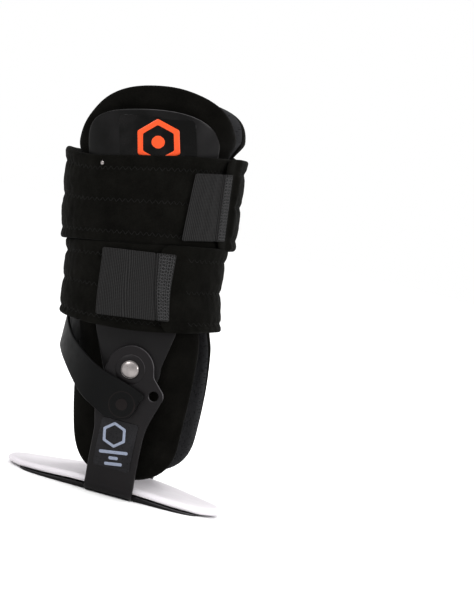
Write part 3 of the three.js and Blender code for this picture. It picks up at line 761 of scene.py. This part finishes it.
footbed_profile = [[0, FOOTBED_BASE], [0.9, FOOTBED_BASE], [0.965, 4.12], [0.988, 4.6], [0.998, 5.4], [1.0, 6.1],
                   [0.996, 6.9], [0.984, 7.7], [0.965, 8.1], [0.945, 8.2], [0, 8.2]]
tape_profile = [[0, 0.2], [0.985, 0.2], [1, 0.35], [1, 0.65], [0.985, 0.8], [0, 0.8]]
finished(oval_slab("footbed_looks", 136, 33, footbed_profile, FOOTBED_FOAM, footbed_height), "stirrup", "footbed_foam",
         "footbed")
finished(oval_slab("footbed_tape_looks", 91, 22, tape_profile, TAPE, tape_height), "stirrup", "footbed_tape",
         "footbed_tape")


# ---------------------------------------------------------------- strap behind the tendon

# Lower and upper edge of the strap at places along the foot.
STRAP_EDGES = np.array([
    [-51.2, 78.5, 99],
    [-49, 77.6, 97],
    [-46, 75, 93.6],
    [-40, 70, 88],
    [-33, 63.8, 83.6],
    [-25, 57, 79],
    [-16, 51.6, 74.6],
    [-8, 47.6, 72],
    [0.8, 44.8, 69.2],
], float)


def strap_path():
    """The strap's outer face in plan, from the lateral button round the heel to the medial one."""
    half = np.concatenate([
        np.stack([np.linspace(BUTTON_X + STRAP_END, -20, 40), np.full(40, -STRAP_OUTSIDE)], 1)[:-1],
        bezier((-20, -STRAP_OUTSIDE), (-29, -50.5), (-STRAP_REAR, -29), (-STRAP_REAR, 0), 90),
        [[-STRAP_REAR, 0]],
    ])
    return np.concatenate([half, (half * [1, -1])[-2::-1]])


STRAP_PATH = strap_path()
STRAP_AT = np.concatenate([[0], np.cumsum(np.linalg.norm(np.diff(STRAP_PATH, axis=0), axis=1))])
STRAP_TANGENT = np.gradient(STRAP_PATH, STRAP_AT, axis=0)


def strap_surface(along_strap, z, offset):
    x, y, tx, ty = (np.interp(along_strap, STRAP_AT, column)
                    for column in (*STRAP_PATH.T, *STRAP_TANGENT.T))
    size = np.hypot(tx, ty)
    return np.stack([x + offset * ty / size, y - offset * tx / size, z], -1)


def strap_outline():
    """The strap laid flat, as (distance along it, height). Each end is a tongue round its button, higher in front."""
    total, button_at, reach = STRAP_AT[-1], STRAP_END, 8.9
    at = np.linspace(button_at + 9, total - button_at - 9, 240)
    edges = along(STRAP_EDGES, np.interp(at, STRAP_AT, STRAP_PATH[:, 0]))
    tongue = np.concatenate([
        bezier((button_at + 8.5, 72.2), (button_at, 69.6), (6, 68.2), (2.2, 66.4), 12),
        bezier((2.2, 66.4), (0.2, 65.4), (0.1, 63.6), (1.2, 61.6), 8),
        arc(button_at, BUTTON_Z, reach, 160, 255, 16),
        bezier((button_at - 1.5, BUTTON_Z - reach), (button_at + 2, BUTTON_Z - reach - 0.2),
               (button_at + 5, BUTTON_Z - reach), (button_at + 8.5, 48.0), 10),
    ])
    other = tongue * [-1, 1] + [total, 0]
    low = np.stack([at, edges[:, 0]], 1)
    high = np.stack([at, edges[:, 1]], 1)
    return np.concatenate([low, other[::-1], high[::-1], tongue])


strap = plate("tendon_strap_looks", evenly(strap_outline(), 500), strap_surface, -STRAP_THICKNESS, 0, STRAP_PLASTIC,
              1.5, 1.6, 0.85, 2.0)
for side in (LATERAL, MEDIAL):
    cut_holes(strap, side, STRAP_OUTSIDE, (BUTTON_X, BUTTON_Z, BUTTON_BORE))
finished(strap, "tendon_strap", "strap_black", "tendon_strap")


# ---------------------------------------------------------------- rivets, buttons, spacers and washers

def dome(radius, base, rise, count, start=0):
    """The domed end of a profile, from its rim to the axis."""
    rows = [[radius * math.cos(t), base + rise * math.sin(t)] for t in np.radians(np.linspace(start, 90, count))]
    rows[-1][0] = 0
    return rows


RIVET = [[0, 41.8], [2.9, 41.8], [3, 41.9], [3, 50.2], [5.15, 50.2], [5.4, 50.32], [5.4, 50.9], [5.24, 51.12],
         *dome(5.1, 50.95, 1.65, 12, 8)]
# A wide flat head with a raised lip and a shallow groove inside it, on a short post.
STRAP_BUTTON = [[0, 45.6], [4.8, 45.6], [5, 45.75], [5, 46.5], [4.9, 46.6], [2.6, 46.6], [2.6, 52.3], [8.1, 52.3],
                [8.35, 52.5], [8.35, 53.3], [8.2, 53.68], [7.8, 53.85], [7.4, 53.8], [7.1, 53.5], [6.85, 53.1],
                [6.5, 52.95], *dome(6.1, 53.1, 0.75, 14)]
SPACER, WASHER = ring_profile(HINGE_BORE, 9, 45.8, 46.6), ring_profile(HINGE_BORE, 6.5, 41.8, 42.4)

for name, side in (("lateral", LATERAL), ("medial", MEDIAL)):
    for part, profile, centre, material, slot, closed in (
            ("hinge_rivet", RIVET, (0, 0, HINGE_HEIGHT), STEEL, "rivet_steel", False),
            ("strap_button", STRAP_BUTTON, (BUTTON_X, 0, BUTTON_Z), BUTTON_PLASTIC, "moulded_black", False),
            ("hinge_spacer", SPACER, (0, 0, HINGE_HEIGHT), NYLON, "spacer_nylon", True),
            ("hinge_washer", WASHER, (0, 0, HINGE_HEIGHT), STEEL, "rivet_steel", True)):
        piece = turned(f"{name}_{part}_looks", profile, centre, (0, side, 0), material, 64, closed)
        finished(piece, "stirrup", slot, f"{name}_{part}")


# ---------------------------------------------------------------- shells, pads and labels

def shell_outline():
    return np.concatenate([
        [[-17, 0], [-21.5, 24], [-26.4, 134]],
        chain((-26.4, 134), ((-27, 149), (-22, 154.2), (0, 154.2)), ((33, 154.2), (49.5, 148), (48.8, 132))),
        [[48.8, 132], [24.5, 19], [16.9, 0]],
        arc(0, 0, 17, 0, -180, 40),
    ])


def pad_outline():
    return chain(
        (-36.2, 128),
        ((-35.4, 152), (-20.5, 168.3), (9, 168.3)), ((40, 168.3), (58, 158), (55.4, 134)),
        ((53, 110), (46, 88), (40.5, 62)), ((38.5, 48), (40, 30), (39.8, 19)),
        ((38, -8), (31.6, -30), (26.8, -48)), ((22.4, -62), (12, -67), (-1, -67)),
        ((-25, -67), (-38, -58), (-40, -36)), ((-42.5, -12), (-40, 8), (-38.6, 24)))


def round_corners(points, passes=2):
    """Cuts an outline's corners, so that straight runs meet in short curves."""
    for _ in range(passes):
        after = np.roll(points, -1, axis=0)
        points = np.stack([0.75 * points + 0.25 * after, 0.25 * points + 0.75 * after], 1).reshape(-1, 2)
    return points


SHELL_OUTLINE = evenly(round_corners(evenly(shell_outline(), 260)), 420)
PAD_OUTLINE = evenly(pad_outline(), 460)


def inside_outline(points, outline):
    x, z = points[:, 0], points[:, 1]
    a, b = outline, np.roll(outline, -1, axis=0)
    inside = np.zeros(len(points), bool)
    for (ax, az), (bx, bz) in zip(a, b):
        crosses = (az > z) != (bz > z)
        if crosses.any():
            with np.errstate(divide="ignore", invalid="ignore"):
                at = ax + (z - az) * (bx - ax) / (bz - az)
            inside ^= crosses & (x < at)
    return inside


def pad_surface(side):
    """The side of the leg, with the pad's upper margins standing away from it above the wraps."""
    plain = side_surface(side)
    front_flare, rear_flare, low_flare = 6.0 if side == MEDIAL else 5.0, 2.6, 1.2

    def surface(z, x, offset):
        above = smoothstep(z, 126, 138)
        front, rear = smoothstep(x, 34, 54), smoothstep(-x, 22, 36)
        low = 1 - smoothstep(z, 8, 22)
        upper = above * (front_flare * front + rear_flare * rear)
        return plain(z, x, offset + upper + low * low_flare * (smoothstep(x, 22, 38) + rear))

    return surface


def pad_swell(grid, distance):
    """Foam that stands up round the shell's edge, and the soft lumps of its plush."""
    flat = swap(grid.reshape(-1, 2))
    outside = ~inside_outline(flat, SHELL_OUTLINE)
    away = np.where(outside, outline_distance(flat, SHELL_OUTLINE[::3]), 0).reshape(distance.shape)
    z = grid[..., 0]
    rise = smoothstep(away, 1.0, 5.0) * (0.35 + 1.35 * smoothstep(z, 18, 34))
    three = np.stack([grid[..., 1], z, 0 * z], -1)
    lumps = 0.5 * ripple(three, 17, 3.0) + 0.22 * ripple(three, 6, 9.0) + 0.1 * ripple(three, 2.2, 4.0)
    return rise + lumps * smoothstep(distance, 0, 3) - 0.3 * (1 - smoothstep(distance, 2.5, 7.0))


def shell_label_outline():
    """The label's edge as (x, z): a box whose top slopes with the shell's rim, higher at the rear."""
    x, z = rounded_box(-6.5, 37, 112, 147, 2.6).T
    share = (z - 112) / 35
    return np.stack([x, z + share * 4.3 * (37 - x) / 43.5], 1)


def hexagon_ring(cx, cz, radius, width):
    """Outline rows of a six-sided ring with softened corners, as (outer, inner) loops."""
    angles = np.radians(np.arange(30, 390, 60))
    unit = np.stack([np.cos(angles), np.sin(angles)], 1)
    return [evenly(round_corners(evenly(unit * r, 48)), 96) + [cx, cz] for r in (radius, radius - width)]


def ring_patch(surface, outer_loop, inner_loop, offset, height, material):
    """A raised flat ring between two loops of (x, z) points."""
    count = len(outer_loop)
    verts = []
    for share in (0, 0.04, 0.04 + 0.92 / 3, 0.96 - 0.92 / 3, 0.96, 1):
        loop = outer_loop * (1 - share) + inner_loop * share
        lift = offset + (height if 0 < share < 1 else 0)
        verts.extend(surface(loop[:, 1], loop[:, 0], np.full(count, lift)))
    number = np.arange(len(verts)).reshape(-1, count)
    return outward(new_object("ring", verts, belts([*number, number[0]]), material))


def bar_patch(surface, cx, cz, half_x, half_z, offset, height, material):
    """A small raised bar with round ends, or a dot if it is as high as it is long."""
    outline = rounded_box(cx - half_x, cx + half_x, cz - half_z, cz + half_z, min(half_x, half_z) * 0.98)
    return plate("bar", evenly(swap(outline), 40), surface, offset, offset + height, material, 1.2, 1.2, 0.12, 2,
                 near=NEAR[:4])


for name, side in (("lateral", LATERAL), ("medial", MEDIAL)):
    body = f"{name}_upright"
    surface = side_surface(side)
    shell = plate(f"{name}_shell_looks", swap(SHELL_OUTLINE), surface, 0, SHELL_THICKNESS, SHELL_PLASTIC, 2.2, 2.2,
                  0.9, 2.2)
    cut_holes(shell, side, SHELL_INSIDE_AT_HINGE + SHELL_THICKNESS, (0, HINGE_HEIGHT, HINGE_BORE))
    shell.data.set_sharp_from_angle(angle=math.radians(50))
    finished(shell, body, "shell_black", f"{name}_shell")

    pad = plate(f"{name}_pad_looks", swap(PAD_OUTLINE), pad_surface(side), PAD_OUTER - PAD_THICKNESS, PAD_OUTER,
                PAD_PLUSH, 1.9, 1.9, 2.9, 2.1, swell=pad_swell, lining=PAD_LINING)
    finished(pad, body, "pad_plush", f"{name}_pad")

    for part, x0, x1, z0, z1 in (("lower", -11, 17, 26, 56), ("upper", -10, 30, 84, 116)):
        outline = evenly(swap(rounded_box(x0, x1, z0, z1, 2.0)), 160)
        hook = plate(f"{name}_{part}_pad_hook_looks", outline, surface, PAD_HOOK_INNER, PAD_HOOK_OUTER,
                     HOOK_TAPE, 2.5, 2.5, 0.3, 2, near=NEAR[:7])
        finished(hook, body, "hook_tape", f"{name}_{part}_pad_hook")

    outline = evenly(swap(shell_label_outline()), 220)
    mark = 16.2, 134.3
    label = join(f"{name}_shell_label_looks", [
        plate("film", outline, surface, LABEL_BACK, LABEL_FACE, SHELL_LABEL, 2.5, 2.5, 0.12, 2, near=NEAR[:7]),
        ring_patch(surface, *hexagon_ring(*mark, 13.8, 3.8), LABEL_FACE, MARK_HEIGHT, ORANGE_INK),
        bar_patch(surface, *mark, 3.8, 3.8, LABEL_FACE, MARK_HEIGHT, ORANGE_INK)])
    finished(label, body, "shell_label", f"{name}_shell_label")


def turned_about(surface, cx, cz, degrees):
    """The same surface, but what is laid on it is first turned about a point."""
    c, s = math.cos(math.radians(degrees)), math.sin(math.radians(degrees))

    def placed(z, x, offset):
        return surface(cz + s * (x - cx) + c * (z - cz), cx + c * (x - cx) - s * (z - cz), offset)

    return placed


# The film on the lateral arm, with a ring mark and three bars.
arm_outer = arm_surface(LATERAL)
label_outline = evenly(swap(rounded_box(ARM_REAR + 3.5, ARM_FRONT - 4, 17.5, 47.2, 1.6)), 140)
parts = [plate("film", label_outline, arm_outer, 0.3, 0.6, ARM_LABEL, 2, 2, 0.12, 2, near=NEAR[:6])]
print_x = 1.6
printed = turned_about(arm_outer, print_x, 30.5, 9.0)
parts.append(ring_patch(printed, *hexagon_ring(print_x, 38.2, 7.9, 2.0), 0.6, 0.1, PALE_INK))
for bar_z, half_length in ((27.7, 9.0), (24.1, 3.0), (20.5, 5.6)):
    parts.append(bar_patch(printed, print_x, bar_z, half_length, 1.0, 0.6, 0.1, PALE_INK))
finished(join("arm_label_looks", parts), "stirrup", "arm_label", "arm_label")


# ---------------------------------------------------------------- wraps and hook tabs

UPPER_WRAP = dict(
    low=74.6, low_slope=5.4, low_curve=0.0, high=126.6, high_slope=1.5, rear_rise=7.4,
    start=8, end=(391, 391), ramp=348,
    rear=lambda z: 2 + 0.04 * (126.6 - z), front=lambda z: 0.03 * (126.6 - z), side=lambda z: 0,
    tab_end=(414.5, 420.5), tab_height=40, tab_middle=96, tab_slope=0,
    patch=(9, 9), seams=(8, 27, 46), rivet=122.4, rivet_lift=0.0,
)
LOWER_WRAP = dict(
    low=22.9, low_slope=7.0, low_curve=0.0025, high=74.6, high_slope=5.4, rear_rise=0,
    start=24, end=(435.5, 429.5), ramp=350,
    rear=lambda z: 1.2 + 0.09 * (72 - z), front=lambda z: -0.07 * (72 - z), side=lambda z: 0.1 * (72 - z),
    tab_end=(467.5, 466.5), tab_height=39.5, tab_middle=50, tab_slope=7.5,
    patch=(14, 7.5), seams=(8.5, 27.5, 46.5), rivet=66.5, rivet_lift=-1.3,
)
SLOPE_CENTRE, WRAP_END_THICKNESS, DEEPEST_SINK, ANCHOR_X = 5, 1.6, 3.1, -15.0


def wrap_section(wrap, angle, z):
    """Rear end, front end and half width of the wrap's section at a height, and x and y at an angle round it."""
    rear, front, half = np.moveaxis(along(LEG_STATIONS, z), -1, 0)
    rear, front, half = rear - wrap["rear"](z), front + wrap["front"](z), half + wrap["side"](z)
    c, s = np.cos(np.radians(angle)), np.sin(np.radians(angle))
    x = (front + rear) / 2 + (front - rear) / 2 * np.sign(c) * np.abs(c) ** (2 / ROUNDNESS)
    return rear, front, half, x, -half * np.sign(s) * np.abs(s) ** (2 / ROUNDNESS)


def wrap_x(wrap, angle, z):
    return wrap_section(wrap, angle, np.full(np.shape(angle), float(z)))[3]


def wrap_point(wrap, angle, z, offset):
    return on_section(*wrap_section(wrap, angle, z), z, offset)


def wrap_height(wrap, angle, share):
    """Height at an angle round the leg, where share runs from 0 at the lower edge to 1 at the upper edge."""
    run = wrap_x(wrap, angle, (wrap["low"] + wrap["high"]) / 2) - SLOPE_CENTRE
    low = wrap["low"] - run * math.tan(math.radians(wrap["low_slope"])) + wrap["low_curve"] * run**2
    behind = smoothstep(angle, 112, 178) * (1 - smoothstep(angle, 305, 345))
    high = wrap["high"] - run * math.tan(math.radians(wrap["high_slope"])) + wrap["rear_rise"] * behind
    return low + (high - low) * share


def slanted(ends, share):
    return ends[1] + (ends[0] - ends[1]) * share


def path_length(wrap):
    angle = np.arange(wrap["start"], sum(wrap["end"]) / 2, 0.5)
    points = wrap_point(wrap, angle, wrap_height(wrap, angle, 0.5), 6.0)
    return np.concatenate([[0], np.cumsum(np.linalg.norm(np.diff(points, axis=0), axis=1))]), angle


def wrap_piece(name, wrap):
    lengths, angles = path_length(wrap)
    total, height = lengths[-1], wrap["high"] - wrap["low"]
    mean_end = sum(wrap["end"]) / 2

    def angle_at(along_wrap, share):
        plain = np.interp(along_wrap, lengths, angles)
        return wrap["start"] + (plain - wrap["start"]) * (slanted(wrap["end"], share) - wrap["start"]) / (
            mean_end - wrap["start"])

    def surface(up, along_wrap, offset):
        share = up / height
        angle = angle_at(along_wrap, share)
        start, stop = wrap["ramp"], 360 + wrap["start"] - 4
        layer = WRAP_OFFSET + (SECOND_LAYER - WRAP_OFFSET) * smoothstep(angle, start, stop)
        return wrap_point(wrap, angle, wrap_height(wrap, angle, share), layer + offset)

    seams = [height - s for s in wrap["seams"]]
    patch_mm = total * sum(wrap["patch"]) / 2 / (mean_end - wrap["start"])

    def sinks(up, along_wrap):
        """How far the outer face lies below its full thickness."""
        flat = np.stack([along_wrap, up, 0 * up], -1)
        near_seam = np.min([np.abs(up - s) for s in seams], axis=0)
        groove = 0.85 * np.exp(-(near_seam / 1.3) ** 2) + 0.55 * np.exp(-(near_seam / 4.5) ** 2)
        phase = along_wrap * 2 * np.pi / 5.2 + 3.5 * ripple(flat, 13, 5.0)
        pucker = 0.32 * (0.5 + 0.5 * np.sin(phase)) * np.exp(-(near_seam / 5.5) ** 2)
        long_folds = 0.55 * (0.5 + 0.5 * ripple(flat * [0.6, 1.6, 1], 15, 2.0) * 1.6)
        small = 0.3 * (0.5 + ripple(flat, 5.0, 7.0)) + 0.2 * (0.5 + ripple(flat, 2.4, 11.0))
        return groove + pucker + np.clip(long_folds, 0, 1.2) + small

    def swell(grid, distance):
        up, along_wrap = grid[..., 0], grid[..., 1]
        share = up / height
        flat = smoothstep(along_wrap, total - 1.6 * patch_mm, total - 1.2 * patch_mm)
        angle = angle_at(along_wrap, share)
        z = wrap_height(wrap, angle, share)
        x = wrap_section(wrap, angle, z)[3]
        from_rivet = np.hypot(x - ANCHOR_X, z - wrap["rivet"]) + 100 * (angle > 180)
        dimple = 1.9 * np.exp(-(from_rivet / 2.2) ** 3)
        soft = -np.clip(sinks(up, along_wrap) + dimple, 0, DEEPEST_SINK)
        return soft * (1 - flat) + (WRAP_END_THICKNESS - WRAP_THICKNESS) * flat

    gap_to_tab, corner = 1.6, 5.0
    outline = evenly(rounded_box(0, height, 0, total - gap_to_tab, corner), 900)
    piece = plate(f"{name}_wrap_looks", outline, surface, 0, WRAP_THICKNESS, WRAP_PLUSH, 1.15, 1.15, 2.3, 2.0,
                  swell=swell)

    swing, pitch = 1.25, 3.6
    at = np.arange(3, total - 1.7 * patch_mm, 0.65)
    zigzag = swing * (2 / np.pi) * np.arcsin(np.sin(at * 2 * np.pi / pitch))
    stitches = []
    for up in (seam + zigzag for seam in seams):
        stitches.append(surface(up, at, WRAP_THICKNESS - np.clip(sinks(up, at), 0, DEEPEST_SINK) - 0.02))
    sewn = threads(f"{name}_wrap_stitches", stitches, 0.2, THREAD)
    finished(piece, "lateral_upright", "wrap_plush", f"{name}_wrap")
    finished(sewn, "lateral_upright", "wrap_plush")


def tab_band(wrap, start, stop):
    """Surface of a stretch of the tab's band; rows run up it and columns along it, in mm. Also its width."""
    tall, middle, slope = wrap["tab_height"], wrap["tab_middle"], math.tan(math.radians(wrap["tab_slope"]))
    angles = np.linspace(sum(start) / 2, sum(stop) / 2, 60)
    along_middle = wrap_point(wrap, angles, np.full(60, float(middle)), SECOND_LAYER)
    width = np.linalg.norm(np.diff(along_middle, axis=0), axis=1).sum()

    def surface(up, along_band, offset):
        share, run = up / tall, along_band / width
        edge_share = 0.11 + 0.78 * share
        angle = slanted(start, edge_share) * (1 - run) + slanted(stop, edge_share) * run
        z = middle - (wrap_x(wrap, angle, middle) - SLOPE_CENTRE) * slope + (share - 0.5) * tall
        return wrap_point(wrap, angle, z, offset)

    return surface, width


def end_patch(name, wrap):
    """The end of the tab that is sewn down on the wrap, with its rows of stitches."""
    surface, width = tab_band(wrap, tuple(a - b + 0.6 for a, b in zip(wrap["end"], wrap["patch"])),
                              tuple(a + 0.75 for a in wrap["end"]))
    tall = wrap["tab_height"]
    inner, thickness = SECOND_LAYER + WRAP_END_THICKNESS + 0.1, 0.8

    def draped(up, along_patch, offset):
        step = smoothstep(along_patch, width - 2.6, width - 0.5)
        return surface(up, along_patch, offset - 1.35 * step)

    outline = evenly(rounded_box(0, tall, 0, width, 0.8), 200)
    patch = plate(f"{name}_end_patch_looks", outline, draped, inner, inner + thickness, HOOK_TAPE, 1.2, 0.33, 0.4, 2,
                  swell=tab_ribs, near=NEAR[:6])
    paths = []
    sewn_width = width - 1.6
    up = np.arange(0.9, tall - 0.8, 0.6)
    for k in np.arange(1.0, sewn_width, 1.35):
        paths.append(draped(up, k + 0.42 * np.sin(up * 3.1 + 2 * k), np.full(len(up), inner + thickness + 0.04)))
    run = np.linspace(0.7, sewn_width, 14)
    for up_at in np.arange(1.3, tall - 1.0, 1.9):
        wave = up_at + 0.25 * np.sin(run * 2.3 + up_at)
        paths.append(draped(wave, run, np.full(14, inner + thickness + 0.06)))
    sewn = threads(f"{name}_end_patch_stitches", paths, 0.17, TAPE_THREAD)
    finished(patch, "lateral_upright", "hook_patch", f"{name}_end_patch")
    finished(sewn, "lateral_upright", "hook_patch")


def tab_ribs(grid, distance):
    up, along_tab = grid[..., 0], grid[..., 1]
    lumps = ripple(np.stack([along_tab, up, 0 * up], -1), 7, 1.0)
    rib = 0.07 * np.sin(along_tab * 2 * np.pi / 1.3 + 2.2 * lumps) + 0.05 * lumps
    return rib * smoothstep(distance, 0.4, 1.2)


def hook_tab(name, wrap):
    surface, width = tab_band(wrap, tuple(a + 0.9 for a in wrap["end"]), wrap["tab_end"])
    outline = evenly(rounded_box(0, wrap["tab_height"], 0, width, 1.2), 260)
    tab = plate(f"{name}_hook_tab_looks", outline, surface, SECOND_LAYER, SECOND_LAYER + 1.2, HOOK_TAPE, 1.6, 0.33,
                0.5, 2, swell=tab_ribs, near=NEAR[:6])
    finished(tab, f"{name}_hook_tab", "hook_tape", f"{name}_hook_tab")


def anchor_rivet(name, wrap):
    """A small rivet that pins the wrap to the shell; its head sits deep in the wrap's plush."""
    surface = side_surface(LATERAL)
    place = np.array([float(wrap["rivet"])]), np.array([ANCHOR_X])
    foot = surface(*place, np.array([0.0]))[0]
    out = surface(*place, np.array([1.0]))[0] - foot
    top = 5.75 + wrap["rivet_lift"]
    profile = [[0, -0.9], [2.3, -0.9], [2.4, -0.8], [2.4, -0.4], [2.3, -0.3], [0.8, -0.3], [0.8, top], [1.35, top],
               *dome(1.35, top + 0.25, 0.45, 9)]
    rivet = turned(f"{name}_wrap_rivet_looks", profile, foot, out, STEEL, 40)
    finished(rivet, "lateral_upright", "rivet_steel", f"{name}_wrap_rivet")


for name, wrap in (("upper", UPPER_WRAP), ("lower", LOWER_WRAP)):
    wrap_piece(name, wrap)
    end_patch(name, wrap)
    hook_tab(name, wrap)
    anchor_rivet(name, wrap)


# ---------------------------------------------------------------- floor, light and camera

def floor():
    around, height = 96, -0.0002
    turn = np.linspace(0, 2 * np.pi, around, endpoint=False)
    radii = (0.5, 1.5, 4, 12)
    verts = [(0, 0, height)] + [(r * math.cos(t), r * math.sin(t), height) for r in radii for t in turn]
    number = 1 + np.arange(len(radii) * around).reshape(-1, around)
    mesh = bpy.data.meshes.new("floor")
    mesh.from_pydata(verts, [], belts([*number[::-1], [0] * around]))
    n = Nodes("floor_paper", (0.96, 0.96, 0.96), 1.0, specular=0.0)
    n.tone(n.noise(3, 2), (0.3, (0.955, 0.955, 0.955)), (0.7, (0.965, 0.965, 0.965)))
    mesh.materials.append(n.material)
    linked("floor", mesh)


def light(name, kind, place, direction, **settings):
    data = bpy.data.lights.new(name, kind)
    for key, value in settings.items():
        setattr(data, key, value)
    obj = linked(name, data)
    obj.location = place
    obj.rotation_euler = Vector(direction).to_track_quat("-Z", "Y").to_euler()


floor()
light("sky", "SUN", (0, 0, 0), (0.25, 0.5, -1), energy=0.4, angle=math.radians(60))
for name, place, size, power in (("key", (-0.9, -1.2, 1.2), 0.6, 9), ("side", (1.5, -0.5, 0.8), 0.5, 9),
                                 ("back", (0.5, 1.4, 1.1), 0.7, 12)):
    light(name, "AREA", place, Vector((0, 0, 0.13)) - Vector(place), shape="DISK", size=size, energy=power)

world = bpy.data.worlds.new("studio")
world.use_nodes = True
world.node_tree.nodes["Background"].inputs["Color"].default_value = (1, 1, 1, 1)
world.node_tree.nodes["Background"].inputs["Strength"].default_value = 1.0
bpy.context.scene.world = world
bpy.context.scene.view_settings.view_transform = "Standard"
bpy.context.scene.view_settings.gamma = 0.83

CAMERA_AZIMUTH, CAMERA_ELEVATION, CAMERA_ROLL = map(math.radians, (7.0, 2.2, 14.47))
CAMERA_DISTANCE, CAMERA_LENS = 1.3, 161.57
CAMERA_TARGET = Vector((0.0449, 0, 0.1331))

# The camera's axes: back away from the object, then right and up after the roll.
back = Vector((math.sin(CAMERA_AZIMUTH) * math.cos(CAMERA_ELEVATION),
               -math.cos(CAMERA_AZIMUTH) * math.cos(CAMERA_ELEVATION), math.sin(CAMERA_ELEVATION)))
level = Vector((0, 0, 1)).cross(back).normalized()
upright = back.cross(level)
right = math.cos(CAMERA_ROLL) * level + math.sin(CAMERA_ROLL) * upright
up = math.cos(CAMERA_ROLL) * upright - math.sin(CAMERA_ROLL) * level
camera_data = bpy.data.cameras.new("camera")
camera_data.lens, camera_data.sensor_width, camera_data.sensor_fit = CAMERA_LENS, 36, "HORIZONTAL"
camera = linked("camera", camera_data)
camera.matrix_world = Matrix.Translation(CAMERA_TARGET + back * CAMERA_DISTANCE) @ Matrix(
    (right, up, back)).transposed().to_4x4()
bpy.context.scene.camera = camera
